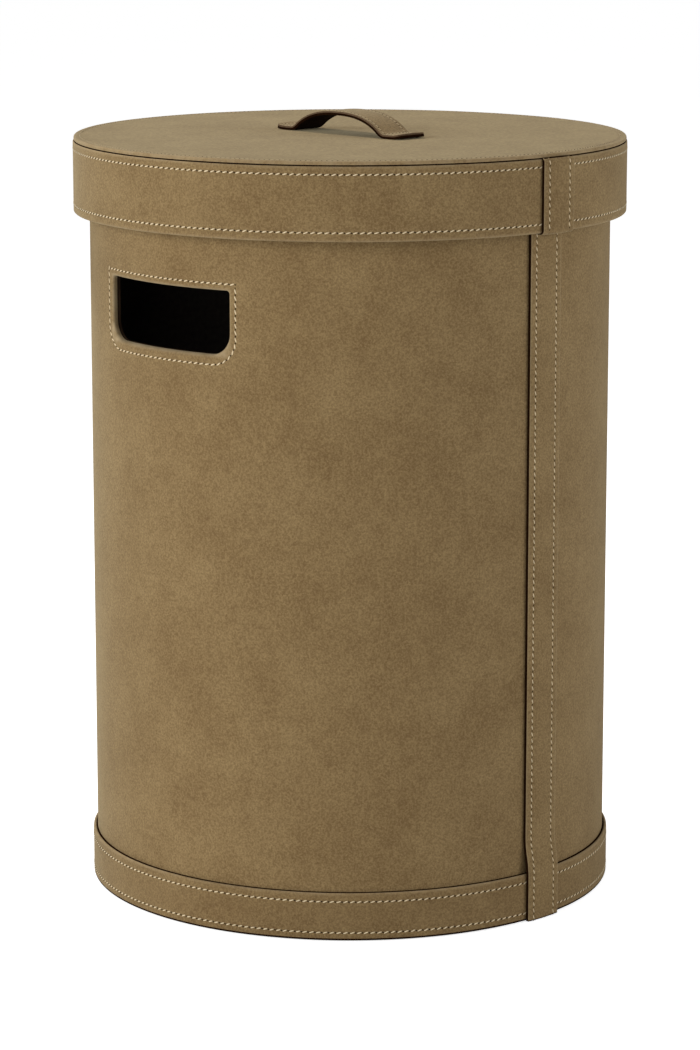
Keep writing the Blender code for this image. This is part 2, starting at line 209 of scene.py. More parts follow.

# %% [markdown]
# ## Shader groups that several finishes share
#
# Nubuck is leather brushed to a short nap. It has cloudy patches where the nap lies over, a fine speckle of
# fibres, and folds made paler by wear; at the hand slots' rolled edges the paler fold is a painted highlight.
# Cloth and felt are fibres too. Each effect is one node group with named inputs, so each finish can place it
# with its own values.


# %% Node helpers
def new_group(name, inputs, outputs):
    """A shader group with (name, socket type, default) inputs and (name, type) outputs."""
    tree = bpy.data.node_groups.new(name, "ShaderNodeTree")
    for label, kind, default in inputs:
        socket = tree.interface.new_socket(label, in_out="INPUT", socket_type=kind)
        if default is not None:
            socket.default_value = default
    for label, kind in outputs:
        tree.interface.new_socket(label, in_out="OUTPUT", socket_type=kind)
    return tree, tree.nodes.new("NodeGroupInput").outputs, tree.nodes.new("NodeGroupOutput").inputs


def plug(tree, value, socket):
    """Set a socket to a plain value, or link another node's output to it."""
    if isinstance(value, bpy.types.NodeSocket):
        tree.links.new(value, socket)
    else:
        socket.default_value = value


def maths(tree, operation, first, second=0.0, clamp=False):
    node = tree.nodes.new("ShaderNodeMath")
    node.operation = operation
    node.use_clamp = clamp
    plug(tree, first, node.inputs[0])
    plug(tree, second, node.inputs[1])
    return node.outputs[0]


def blend(tree, share, first, second):
    """Mix two colours by a share from 0 to 1."""
    node = tree.nodes.new("ShaderNodeMix")
    node.data_type = "RGBA"
    plug(tree, share, node.inputs["Factor"])
    plug(tree, first, node.inputs[6])
    plug(tree, second, node.inputs[7])
    return node.outputs[2]


def noise(tree, vector, scale, detail=2.0, roughness=0.5):
    node = tree.nodes.new("ShaderNodeTexNoise")
    plug(tree, vector, node.inputs["Vector"])
    plug(tree, scale, node.inputs["Scale"])
    node.inputs["Detail"].default_value = detail
    node.inputs["Roughness"].default_value = roughness
    return node.outputs["Fac"]


def spread(tree, value, low_value, high_value):
    """Stretch a value so that low_value becomes 0 and high_value becomes 1."""
    node = tree.nodes.new("ShaderNodeMapRange")
    plug(tree, value, node.inputs["Value"])
    node.inputs["From Min"].default_value = low_value
    node.inputs["From Max"].default_value = high_value
    return node.outputs["Result"]


print("node helpers are ready")


# %% The nap group
def make_nap_group():
    inputs = [
        ("Vector", "NodeSocketVector", None),
        ("Colour", "NodeSocketColor", (0.3, 0.2, 0.1, 1)),
        ("Deep Colour", "NodeSocketColor", (0.2, 0.13, 0.06, 1)),
        ("Rubbed Colour", "NodeSocketColor", (0.4, 0.3, 0.18, 1)),
        ("Cloud Scale", "NodeSocketFloat", 22.0),
        ("Fibre Scale", "NodeSocketFloat", 1100.0),
        ("Wear And Highlight", "NodeSocketFloat", 0.0),
    ]
    outputs = [("Colour", "NodeSocketColor"), ("Roughness", "NodeSocketFloat"), ("Height", "NodeSocketFloat")]
    tree, given, result = new_group("nap", inputs, outputs)
    clouds = noise(tree, given["Vector"], given["Cloud Scale"], 4.0, 0.55)
    patches = noise(tree, given["Vector"], maths(tree, "MULTIPLY", given["Cloud Scale"], 5.0), 3.0, 0.6)
    fibres = noise(tree, given["Vector"], given["Fibre Scale"], 2.0, 0.7)
    sand = noise(tree, given["Vector"], maths(tree, "MULTIPLY", given["Fibre Scale"], 0.62), 1.0, 0.6)
    pores = noise(tree, given["Vector"], maths(tree, "MULTIPLY", given["Fibre Scale"], 0.36), 1.0, 0.5)
    cloudy = maths(tree, "MULTIPLY", spread(tree, clouds, 0.35, 0.68), 0.26)
    patchy = maths(tree, "MULTIPLY", spread(tree, patches, 0.35, 0.68), 0.17)
    speckled = maths(tree, "MULTIPLY", spread(tree, fibres, 0.34, 0.66), 0.44)
    sandy = maths(tree, "MULTIPLY", spread(tree, sand, 0.36, 0.64), 0.52)
    pored = maths(tree, "MULTIPLY", spread(tree, pores, 0.6, 0.8), 0.22)
    dark = maths(tree, "ADD", maths(tree, "ADD", cloudy, patchy), maths(tree, "ADD", speckled, sandy))
    dark = maths(tree, "SUBTRACT", maths(tree, "ADD", dark, pored), 0.13, clamp=True)
    skin = blend(tree, dark, given["Colour"], given["Deep Colour"])
    # Paler folds: wear at the turned edges, and a painted highlight at the hand slots' edges
    wear_and_highlight_share = maths(tree, "MULTIPLY", given["Wear And Highlight"], spread(tree, patches, 0.2, 0.6), clamp=True)
    plug(tree, blend(tree, wear_and_highlight_share, skin, given["Rubbed Colour"]), result["Colour"])
    plug(tree, maths(tree, "ADD", 0.78, maths(tree, "MULTIPLY", clouds, 0.2)), result["Roughness"])
    ground = maths(tree, "ADD", sand, maths(tree, "MULTIPLY", patches, 0.5))
    plug(tree, maths(tree, "ADD", fibres, maths(tree, "SUBTRACT", ground, pored)), result["Height"])
    return tree


NAP = make_nap_group()
print("nap group has", len(NAP.nodes), "nodes")


# %% The cloth and fibre groups
def make_weave_group():
    """Plain weave: two sets of yarns that pass over each other, from a flat map in metres."""
    inputs = [
        ("Vector", "NodeSocketVector", None),
        ("Colour", "NodeSocketColor", (0.02, 0.02, 0.02, 1)),
        ("Yarn Colour", "NodeSocketColor", (0.04, 0.04, 0.04, 1)),
        ("Yarns per Metre", "NodeSocketFloat", 1600.0),
    ]
    outputs = [("Colour", "NodeSocketColor"), ("Height", "NodeSocketFloat")]
    tree, given, result = new_group("weave", inputs, outputs)
    split = tree.nodes.new("ShaderNodeSeparateXYZ")
    plug(tree, given["Vector"], split.inputs[0])
    turn = maths(tree, "MULTIPLY", given["Yarns per Metre"], math.pi)
    across = maths(tree, "MULTIPLY", split.outputs["X"], turn)
    along = maths(tree, "MULTIPLY", split.outputs["Y"], turn)
    warp = maths(tree, "ABSOLUTE", maths(tree, "SINE", across))
    weft = maths(tree, "ABSOLUTE", maths(tree, "SINE", along))
    over = maths(tree, "SINE", across)
    under = maths(tree, "SINE", along)
    crossing = maths(tree, "GREATER_THAN", maths(tree, "MULTIPLY", over, under), 0.0)
    first = maths(tree, "MULTIPLY", crossing, warp)
    second = maths(tree, "MULTIPLY", maths(tree, "SUBTRACT", 1.0, crossing), weft)
    yarns = maths(tree, "ADD", first, second)
    slubs = noise(tree, given["Vector"], 260.0, 2.0)
    tone = maths(tree, "MULTIPLY", yarns, spread(tree, slubs, 0.2, 0.8), clamp=True)
    plug(tree, blend(tree, tone, given["Colour"], given["Yarn Colour"]), result["Colour"])
    plug(tree, yarns, result["Height"])
    return tree


def make_fibre_group():
    """Matted fibres for felt, paper board and gummed tape."""
    inputs = [
        ("Vector", "NodeSocketVector", None),
        ("Colour", "NodeSocketColor", (0.2, 0.2, 0.2, 1)),
        ("Fleck Colour", "NodeSocketColor", (0.3, 0.3, 0.3, 1)),
        ("Fibre Scale", "NodeSocketFloat", 500.0),
    ]
    outputs = [("Colour", "NodeSocketColor"), ("Height", "NodeSocketFloat")]
    tree, given, result = new_group("matted_fibres", inputs, outputs)
    matted = noise(tree, given["Vector"], given["Fibre Scale"], 5.0, 0.75)
    flecks = noise(tree, given["Vector"], maths(tree, "MULTIPLY", given["Fibre Scale"], 0.2), 3.0, 0.6)
    matted_share = spread(tree, matted, 0.4, 0.7)
    fleck_share = spread(tree, flecks, 0.3, 0.7)
    share = maths(tree, "MULTIPLY", matted_share, fleck_share, clamp=True)
    plug(tree, blend(tree, share, given["Colour"], given["Fleck Colour"]), result["Colour"])
    plug(tree, matted, result["Height"])
    return tree


WEAVE = make_weave_group()
FIBRES = make_fibre_group()
print("weave and fibre groups are ready")

# %% [markdown]
# ## Finishes
#
# The Principled shader stays in each material. Sheen is what makes napped leather
# and cloth pale at a grazing angle, and it is one number for the whole surface, so
# it is set on the shader's own socket.


# %% Material helpers
def start_material(name, roughness, sheen, sheen_tint, sheen_roughness=0.5):
    material = bpy.data.materials.new(name)
    material.use_nodes = True
    tree = material.node_tree
    shader = tree.nodes["Principled BSDF"]
    shader.inputs["Roughness"].default_value = roughness
    shader.inputs["Specular IOR Level"].default_value = 0.2
    shader.inputs["Sheen Weight"].default_value = sheen
    shader.inputs["Sheen Roughness"].default_value = sheen_roughness
    shader.inputs["Sheen Tint"].default_value = (*sheen_tint, 1)
    return material, tree, shader


def place_group(tree, group, values):
    node = tree.nodes.new("ShaderNodeGroup")
    node.node_tree = group
    for label, value in values.items():
        plug(tree, value, node.inputs[label])
    return node.outputs


def object_place(tree):
    return tree.nodes.new("ShaderNodeTexCoord").outputs["Object"]


def flat_map(tree):
    return tree.nodes.new("ShaderNodeTexCoord").outputs["UV"]


def raise_surface(tree, shader, height, depth):
    """Turn a height from 0 to 1 into a bump of a depth in metres."""
    bump = tree.nodes.new("ShaderNodeBump")
    bump.inputs["Strength"].default_value = 1.0
    bump.inputs["Distance"].default_value = depth
    plug(tree, height, bump.inputs["Height"])
    tree.links.new(bump.outputs["Normal"], shader.inputs["Normal"])


NAP_DEPTH = 0.16 * MM


def nubuck(name, colour, deep, wear_and_highlight_colour, fibre_scale=1100.0, sheen=0.26, specular=0.2):
    """Brushed leather; its folds are paler where the mesh's fold attribute is high: wear at folds, and a
    painted highlight at the hand slots' edges.
    """
    material, tree, shader = start_material(name, 0.85, sheen, (0.95, 0.86, 0.58))
    shader.inputs["Specular IOR Level"].default_value = specular
    fold = tree.nodes.new("ShaderNodeAttribute")
    fold.attribute_name = "fold"
    values = {
        "Vector": object_place(tree),
        "Colour": (*colour, 1),
        "Deep Colour": (*deep, 1),
        "Rubbed Colour": (*wear_and_highlight_colour, 1),
        "Wear And Highlight": fold.outputs["Fac"],
        "Fibre Scale": fibre_scale,
    }
    nap = place_group(tree, NAP, values)
    tree.links.new(nap["Colour"], shader.inputs["Base Color"])
    tree.links.new(nap["Roughness"], shader.inputs["Roughness"])
    raise_surface(tree, shader, nap["Height"], NAP_DEPTH)
    return material


def fibrous(name, colour, fleck, scale, depth, sheen=0.1, specular=0.2):
    material, tree, shader = start_material(name, 0.92, sheen, (0.6, 0.6, 0.6))
    shader.inputs["Specular IOR Level"].default_value = specular
    values = {
        "Vector": object_place(tree),
        "Colour": (*colour, 1),
        "Fleck Colour": (*fleck, 1),
        "Fibre Scale": scale,
    }
    fibres = place_group(tree, FIBRES, values)
    tree.links.new(fibres["Colour"], shader.inputs["Base Color"])
    raise_surface(tree, shader, fibres["Height"], depth)
    return material


print("material helpers are ready")

# %% Leathers
COVER_LEATHER = nubuck("cover_nubuck", (0.312, 0.215, 0.096), (0.165, 0.099, 0.038), (0.40, 0.30, 0.17))
LID_LEATHER = nubuck("lid_nubuck", (0.312, 0.215, 0.096), (0.165, 0.099, 0.038), (0.40, 0.30, 0.17), 640.0)
BAND_LEATHER = nubuck("band_nubuck", (0.292, 0.199, 0.088), (0.155, 0.092, 0.035), (0.39, 0.29, 0.165))
HANDLE_LEATHER = nubuck("handle_nubuck", (0.30, 0.20, 0.093), (0.16, 0.10, 0.042), (0.38, 0.29, 0.17))
# Near-black leather for the slot facings and the strap's under ply; on the facings it is partly painted shade
# of the slot's jamb
DARK_TONES = (0.022, 0.011, 0.006), (0.009, 0.004, 0.002), (0.11, 0.065, 0.038)
DARK_LEATHER = nubuck("dark_leather", *DARK_TONES, sheen=0.0, specular=0.04)
leathers = [COVER_LEATHER, LID_LEATHER, BAND_LEATHER, HANDLE_LEATHER, DARK_LEATHER]
print("leathers:", [leather.name for leather in leathers])


# %% Cloth, felt, board, thread, edge paint and painted shade
def make_lining_cloth():
    material, tree, shader = start_material("lining_cloth", 0.9, 0.15, (0.3, 0.3, 0.32))
    values = {
        "Vector": flat_map(tree),
        "Colour": (0.036, 0.026, 0.020, 1),
        "Yarn Colour": (0.090, 0.068, 0.054, 1),
    }
    cloth = place_group(tree, WEAVE, values)
    tree.links.new(cloth["Colour"], shader.inputs["Base Color"])
    raise_surface(tree, shader, cloth["Height"], 0.0001)
    return material


def make_thread(name, colour, shadow):
    """Waxed thread, twisted: fine bands run slantwise across it."""
    material, tree, shader = start_material(name, 0.7, 0.0, (1.0, 1.0, 1.0))
    twist = tree.nodes.new("ShaderNodeTexWave")
    twist.bands_direction = "DIAGONAL"
    twist.inputs["Scale"].default_value = 900.0
    twist.inputs["Distortion"].default_value = 1.5
    plug(tree, object_place(tree), twist.inputs["Vector"])
    share = maths(tree, "MULTIPLY", twist.outputs["Fac"], 0.6)
    tree.links.new(blend(tree, share, (*colour, 1), (*shadow, 1)), shader.inputs["Base Color"])
    raise_surface(tree, shader, twist.outputs["Fac"], 0.00008)
    return material


LINING_CLOTH = make_lining_cloth()
BASE_FELT = fibrous("base_felt", (0.012, 0.011, 0.010), (0.035, 0.033, 0.031), 900.0, 0.0003, 0.3)
GREYBOARD = fibrous("greyboard", (0.27, 0.245, 0.20), (0.36, 0.33, 0.28), 320.0, 0.0001)
PAPER_TAPE = fibrous("paper_tape", (0.50, 0.42, 0.30), (0.60, 0.52, 0.38), 240.0, 0.00005)
CREAM_THREAD = make_thread("cream_thread", (0.88, 0.75, 0.51), (0.62, 0.47, 0.28))
TAN_THREAD = make_thread("tan_thread", (0.60, 0.48, 0.30), (0.38, 0.28, 0.15))
# Dark grain in each needle hole: painted shade of the hole
NEEDLE_HOLE_SHADE = fibrous("needle_hole_shade", (0.022, 0.012, 0.006), (0.045, 0.026, 0.013), 900.0, 0.00005, 0.0, 0.05)
# Dark edge finish: real edge paint on the strap, and painted shade in the lid's seam, along the foot band and
# beside the seam strips
EDGE_PAINT_AND_SHADE = fibrous("edge_paint_and_shade", (0.014, 0.005, 0.002), (0.034, 0.015, 0.005), 600.0, 0.00008, 0.0, 0.0)
BURNISHED_TONES = (0.125, 0.078, 0.044), (0.20, 0.135, 0.08)
BURNISHED_EDGE = fibrous("burnished_edge", *BURNISHED_TONES, 700.0, 0.0001, 0.05, 0.1)
print("cloth, felt, board, tape, two threads and two edge finishes are ready")

# %% [markdown]
# ## Turned pieces with Geometry Nodes
#
# The lid's disc and rim, the foot band, the linings and the felt all follow one rule:
# a section, swept round the axis. One Geometry Nodes tree does that. Its input mesh
# is the section, a row of points in X (radius) and Z (height). The tree lays a grid,
# gives each row the radius and height of its section point, each column an angle, and
# stirs the surface by a fraction of a millimetre, as hand-laid leather is. A Screw
# modifier could sweep a section too, but it can't add the stir or a flat cloth map.


# %% The sweep tree
def tree_sockets(tree, specs):
    """Add (name, type, default) inputs and one geometry output to a geometry tree."""
    for label, kind, default in specs:
        socket = tree.interface.new_socket(label, in_out="INPUT", socket_type=kind)
        if default is not None:
            socket.default_value = default
    tree.interface.new_socket("Geometry", in_out="OUTPUT", socket_type="NodeSocketGeometry")
    return tree.nodes.new("NodeGroupInput").outputs, tree.nodes.new("NodeGroupOutput").inputs


def vector_of(tree, x, y, z):
    node = tree.nodes.new("ShaderNodeCombineXYZ")
    for value, socket in zip((x, y, z), node.inputs):
        plug(tree, value, socket)
    return node.outputs[0]


def axis_parts(tree, vector):
    node = tree.nodes.new("ShaderNodeSeparateXYZ")
    plug(tree, vector, node.inputs[0])
    return node.outputs


def make_sweep_tree():
    tree = bpy.data.node_groups.new("sweep_round_axis", "GeometryNodeTree")
    specs = [
        ("Section", "NodeSocketGeometry", None),
        ("Columns", "NodeSocketInt", 144),
        ("Waviness", "NodeSocketFloat", 0.00015),
        ("Wave Scale", "NodeSocketFloat", 14.0),
        ("Seed", "NodeSocketFloat", 1.0),
        ("Finish", "NodeSocketMaterial", None),
    ]
    given, result = tree_sockets(tree, specs)
    size = tree.nodes.new("GeometryNodeAttributeDomainSize")
    plug(tree, given["Section"], size.inputs["Geometry"])
    rows = size.outputs["Point Count"]
    grid = tree.nodes.new("GeometryNodeMeshGrid")
    grid.inputs["Size X"].default_value = 1.0
    grid.inputs["Size Y"].default_value = 1.0
    plug(tree, maths(tree, "ADD", given["Columns"], 1.0), grid.inputs["Vertices X"])
    plug(tree, rows, grid.inputs["Vertices Y"])
    place = axis_parts(tree, tree.nodes.new("GeometryNodeInputPosition").outputs[0])
    column_share = maths(tree, "ADD", place["X"], 0.5)
    row_share = maths(tree, "ADD", place["Y"], 0.5)
    last_row = maths(tree, "SUBTRACT", rows, 1.0)
    row = maths(tree, "ROUND", maths(tree, "MULTIPLY", row_share, last_row))
    pick = tree.nodes.new("GeometryNodeSampleIndex")
    pick.data_type = "FLOAT_VECTOR"
    plug(tree, given["Section"], pick.inputs["Geometry"])
    plug(tree, tree.nodes.new("GeometryNodeInputPosition").outputs[0], pick.inputs["Value"])
    plug(tree, row, pick.inputs["Index"])
    section = axis_parts(tree, pick.outputs["Value"])
    angle = maths(tree, "MULTIPLY", column_share, math.tau)
    sine = maths(tree, "SINE", angle)
    cosine = maths(tree, "MULTIPLY", maths(tree, "COSINE", angle), -1.0)
    around = [maths(tree, "MULTIPLY", section["X"], part) for part in (sine, cosine)]
    swept = vector_of(tree, around[0], around[1], section["Z"])
    stir = tree.nodes.new("ShaderNodeTexNoise")
    stir.noise_dimensions = "4D"
    plug(tree, swept, stir.inputs["Vector"])
    plug(tree, given["Seed"], stir.inputs["W"])
    plug(tree, given["Wave Scale"], stir.inputs["Scale"])
    lift = maths(tree, "MULTIPLY", maths(tree, "SUBTRACT", stir.outputs["Fac"], 0.5), given["Waviness"])
    pushed = [maths(tree, "MULTIPLY", part, lift) for part in (sine, cosine)]
    outward = vector_of(tree, pushed[0], pushed[1], lift)
    total = tree.nodes.new("ShaderNodeVectorMath")
    plug(tree, swept, total.inputs[0])
    plug(tree, outward, total.inputs[1])
    flat = tree.nodes.new("GeometryNodeStoreNamedAttribute")
    flat.data_type = "FLOAT2"
    flat.domain = "CORNER"
    flat.inputs["Name"].default_value = "UVMap"
    plug(tree, grid.outputs["Mesh"], flat.inputs["Geometry"])
    girth = maths(tree, "MULTIPLY", angle, section["X"])
    climb = maths(tree, "ADD", section["Z"], section["X"])
    plug(tree, vector_of(tree, girth, climb, 0.0), flat.inputs["Value"])
    move = tree.nodes.new("GeometryNodeSetPosition")
    plug(tree, flat.outputs["Geometry"], move.inputs["Geometry"])
    plug(tree, total.outputs[0], move.inputs["Position"])
    weld = tree.nodes.new("GeometryNodeMergeByDistance")
    weld.inputs["Distance"].default_value = 0.000005
    plug(tree, move.outputs["Geometry"], weld.inputs["Geometry"])
    real = tree.nodes.new("GeometryNodeRealizeInstances")
    plug(tree, weld.outputs["Geometry"], real.inputs["Geometry"])
    finish = tree.nodes.new("GeometryNodeSetMaterial")
    plug(tree, real.outputs["Geometry"], finish.inputs["Geometry"])
    plug(tree, given["Finish"], finish.inputs["Material"])
    plug(tree, finish.outputs["Geometry"], result["Geometry"])
    return tree


SWEEP = make_sweep_tree()
print("sweep tree has", len(SWEEP.nodes), "nodes")


# %% Running a tree and keeping the result
def run_tree(name, source_mesh, tree, values):
    """Evaluate a tree on a mesh once and return the result as a plain mesh."""
    host = bpy.data.objects.new(f"{name}_host", source_mesh)
    bpy.context.scene.collection.objects.link(host)
    modifier = host.modifiers.new("tree", "NODES")
    modifier.node_group = tree
    for item in tree.interface.items_tree:
        if item.in_out == "INPUT" and item.name in values:
            modifier[item.identifier] = values[item.name]
    bpy.context.view_layer.update()
    evaluated = host.evaluated_get(bpy.context.evaluated_depsgraph_get())
    mesh = bpy.data.meshes.new_from_object(evaluated)
    mesh.name = name
    host.modifiers.clear()
    bpy.data.objects.remove(host)
    return mesh


def show(name, mesh, sharp_angle=35):
    """Put a finished mesh in the scene, its faces outward and its round parts smooth."""
    shape = bmesh.new()
    shape.from_mesh(mesh)
    bmesh.ops.dissolve_degenerate(shape, dist=0.000001, edges=shape.edges)
    bmesh.ops.recalc_face_normals(shape, faces=shape.faces)
    shape.to_mesh(mesh)
    shape.free()
    mesh.shade_smooth()
    mesh.set_sharp_from_angle(angle=math.radians(sharp_angle))
    thing = bpy.data.objects.new(name, mesh)
    bpy.context.scene.collection.objects.link(thing)
    print(f"{name}: {len(mesh.polygons)} faces")
    return thing


def mark_folds(mesh, is_fold):
    """Store a fold attribute from 0 to 1 at each point, which the leathers read."""
    attribute = mesh.attributes.new("fold", "FLOAT", "POINT")
    for vertex, value in zip(mesh.vertices, attribute.data):
        value.value = is_fold(vertex.co)


def paint_edge_and_shade(mesh, finish, is_edge):
    """Give the faces that pass a test, by their middle, the finish of a painted edge, which here is also
    painted shade in seams and gaps.
    """
    mesh.materials.append(finish)
    index = len(mesh.materials) - 1
    for face in mesh.polygons:
        if is_edge(face.center):
            face.material_index = index


def sweep(name, section, finish, waviness=0.00015, seed=1.0):
    """Sweep a closed (radius, height) section round the axis."""
    closed = section + section[:1]
    mesh = bpy.data.meshes.new(f"{name}_section")
    edges = [(i, i + 1) for i in range(len(closed) - 1)]
    mesh.from_pydata([(radius, 0, height) for radius, height in closed], edges, [])
    values = {"Waviness": waviness, "Seed": seed, "Finish": finish}
    return run_tree(name, mesh, SWEEP, values)


def lay_cloth_map(mesh, radius=None):
    """Store a flat map in metres: round a wall at a radius, or straight down on a disc."""
    layer = mesh.uv_layers.get("UVMap") or mesh.uv_layers.new(name="UVMap")
    for face in mesh.polygons:
        middle = math.atan2(face.center.x, -face.center.y)
        for corner in face.loop_indices:
            point = mesh.vertices[mesh.loops[corner].vertex_index].co
            if radius is None:
                layer.data[corner].uv = (point.x, point.y)
                continue
            turn = (math.atan2(point.x, -point.y) - middle + math.pi) % math.tau - math.pi
            layer.data[corner].uv = ((middle + turn) * radius, point.z)


def place(piece, body, node, material_slot):
    """Hand a finished piece to the frame: it stands for a node and rides on its body."""
    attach(piece, body)
    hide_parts(node)


print("tree runner is ready")

# %% [markdown]
# ## Sections
#
# A section is drawn as the outer face of the leather, and its inner face is the same
# line moved in by the leather's thickness. Where a stitch row runs, thread pulls the
# leather down a little, so the line dips there and rises softly on each side.


# %% Section helpers
def arc(centre, radius, start, end, steps=5):
    """Points of a flat arc, both ends included, angles in degrees."""
    angles = [math.radians(start + (end - start) * i / steps) for i in range(steps + 1)]
    return [(centre[0] + radius * math.cos(a), centre[1] + radius * math.sin(a)) for a in angles]


DIP_REACH = 2 * MM
DIP_SHAPE = [(-1.6, -0.25), (-0.8, 0.15), (-0.3, 0.8), (0, 1), (0.3, 0.8), (0.8, 0.15), (1.6, -0.25)]


def stitched_run(start, end, rows, spacing=6 * MM):
    """Positions from start to end with a depth at each: 0, and a dip at every stitch row."""
    count = max(2, round(abs(end - start) / spacing))
    marks = []
    for i in range(count + 1):
        position = start + (end - start) * i / count
        clear = all(abs(position - row) > DIP_REACH for row in rows)
        if clear or position in (start, end):
            marks.append((position, 0.0))
    for row in rows:
        for offset, share in DIP_SHAPE:
            marks.append((row + offset * MM, share * STITCH_DIP))
    return sorted(marks, reverse=end < start)


def wall_run(radius, start, end, rows=()):
    """An upright run of a section, facing out."""
    return [(radius - depth, height) for height, depth in stitched_run(start, end, rows)]


def thicken(line, thickness):
    """Close an open line into a section: the line, then its copy moved to its left."""
    inner = []
    for i, point in enumerate(line):
        before = line[max(i - 1, 0)]
        after = line[min(i + 1, len(line) - 1)]
        along = (after[0] - before[0], after[1] - before[1])
        length = math.hypot(*along)
        inner.append((point[0] - along[1] / length * thickness, point[1] + along[0] / length * thickness))
    return line + inner[::-1]


print("section helpers are ready")

# %% [markdown]
# ## The lid
#
# The lid's top is a board disc covered in leather, with its edge turned down. It sits
# on a deep rim, which is a board hoop wrapped in leather. Both are swept sections.

# %% Lid disc
FOLD = 1.3 * MM


def lid_disc_line():
    """From the centre out over the top, round the edge and down the short skirt."""
    marks = stitched_run(0.0, DISC - FOLD, [DISC_ROW], 12 * MM)
    line = [(radius, LID_TOP - depth) for radius, depth in marks[:-1]]
    line += arc((DISC - FOLD, LID_TOP - FOLD), FOLD, 90, 0, 6)
    line += [(DISC, DISC_LOW + 0.4 * MM), (DISC - 0.2 * MM, DISC_LOW)]
    return line


disc_section = thicken(lid_disc_line()[::-1], PLY)
disc_section[len(disc_section) // 2 - 1] = (0.0, LID_TOP)
disc_section[len(disc_section) // 2] = (0.0, LID_TOP - PLY)
disc_mesh = sweep("lid_disc", disc_section, LID_LEATHER, 0.0003, 3.0)
mark_folds(disc_mesh, lambda p: 0.55 if math.hypot(p.x, p.y) > DISC - 1.2 * MM else 0.0)
# Edge paint on the skirt's cut edge, also painted shade: a dark line in the seam between disc and rim
paint_edge_and_shade(disc_mesh, EDGE_PAINT_AND_SHADE, lambda p: p.z < DISC_LOW + 0.5 * MM)
lid_disc = show("lid_disc", disc_mesh)
place(lid_disc, "lid", "lid_top_cover", "cover_leather")


# %% Lid rim
def rim_line():
    """From the hem's end inside, down, under the edge, up the face and over the top."""
    centre_in = (RIM_HEM_FACE + FOLD, RIM_LOW + FOLD)
    centre_out = (RIM - FOLD, RIM_LOW + FOLD)
    line = [(RIM_HEM_FACE, RIM_LOW + RIM_HEM), (RIM_HEM_FACE, RIM_LOW + RIM_HEM / 2)]
    line += arc(centre_in, FOLD, 180, 270)
    line += arc(centre_out, FOLD, 270, 360)
    line += wall_run(RIM, RIM_LOW + FOLD + 1 * MM, RIM_TOP - FOLD - 1 * MM, [RIM_LOWER_ROW, RIM_UPPER_ROW])
    line += arc((RIM - FOLD, RIM_TOP - FOLD), FOLD, 0, 90)
    line += [(RIM - FOLD - 2 * MM, RIM_TOP)]
    return line


def rim_fold(point):
    """Pale at the turned edges, top and bottom."""
    near = min(abs(point.z - RIM_TOP), abs(point.z - RIM_LOW))
    return 0.6 * max(0.0, 1 - near / (2.2 * MM))


rim_mesh = sweep("lid_rim", thicken(rim_line(), PLY * THINNED), COVER_LEATHER, 0.0004, 5.0)
mark_folds(rim_mesh, rim_fold)
# Edge paint on the rim's top fold, also painted shade in the seam under the disc
paint_edge_and_shade(rim_mesh, EDGE_PAINT_AND_SHADE, lambda p: p.z > RIM_TOP - 0.3 * MM)
lid_rim = show("lid_rim", rim_mesh)
place(lid_rim, "lid", "lid_rim_cover", "cover_leather")

# %% [markdown]
# ## The foot band
#
# A folded leather band goes round the drum's foot over a stiff core. Its top edge is turned in; the fold's
# thin shadow on the drum is painted dark on the inner ply's raw edge, and a painted contact shadow runs along
# its lower edge.


# %% Foot band
INNER_EDGE = 1.2 * MM
FOOT_LINE = FOLD + 0.4 * MM


def band_line():
    """Under the foot, up the face, over the fold and on to the inner ply's raw edge."""
    inner = DRUM + 0.1 * MM
    line = [(inner, BAND_LOW), (BAND - FOLD - 0.3 * MM, BAND_LOW)]
    line += arc((BAND - FOLD, BAND_LOW + FOLD), FOLD, 270, 360)
    line.append((BAND, BAND_LOW + FOOT_LINE))
    face_low = BAND_LOW + FOLD + 1 * MM
    face_top = BAND_TOP - FOLD - 1 * MM
    line += wall_run(BAND, face_low, face_top, [BAND_LOWER_ROW, BAND_UPPER_ROW])
    line += arc((BAND - FOLD, BAND_TOP - FOLD), FOLD, 0, 90)
    line += [(BAND - FOLD - 0.5 * MM, BAND_TOP - 0.3 * MM), (DRUM + INNER_EDGE, BAND_TOP - 0.4 * MM)]
    line += [(DRUM + INNER_EDGE - 0.2 * MM, BAND_TOP + 0.2 * MM), (inner, BAND_TOP + 0.25 * MM)]
    return line


def band_fold(point):
    near = min(abs(point.z - BAND_TOP), abs(point.z - BAND_LOW))
    return 0.6 * max(0.0, 1 - near / (2 * MM))


def band_edge_and_shade(point):
    """Dark on the inner ply's raw edge against the drum, which is also painted shade of the fold's gap, and
    along the lower edge as a painted contact shadow.
    """
    turned_in = math.hypot(point.x, point.y) < DRUM + INNER_EDGE and point.z > BAND_TOP - 2 * MM
    return turned_in or point.z < BAND_LOW + FOOT_LINE


band_mesh = sweep("foot_band", thicken(band_line(), PLY * THINNED), BAND_LEATHER, 0.0004, 7.0)
mark_folds(band_mesh, band_fold)
# Painted shade at the band's top and a painted contact shadow along its foot
paint_edge_and_shade(band_mesh, EDGE_PAINT_AND_SHADE, band_edge_and_shade)
foot_band = show("foot_band", band_mesh)
place(foot_band, "bin", "base_band_cover", "cover_leather")

# %% [markdown]
# ## Linings and felt
#
# Dark brown cloth lines the floor, the underside of the lid and its rim inside, and
# a black felt disc is the foot that meets the floor. They are plain discs and a ring.


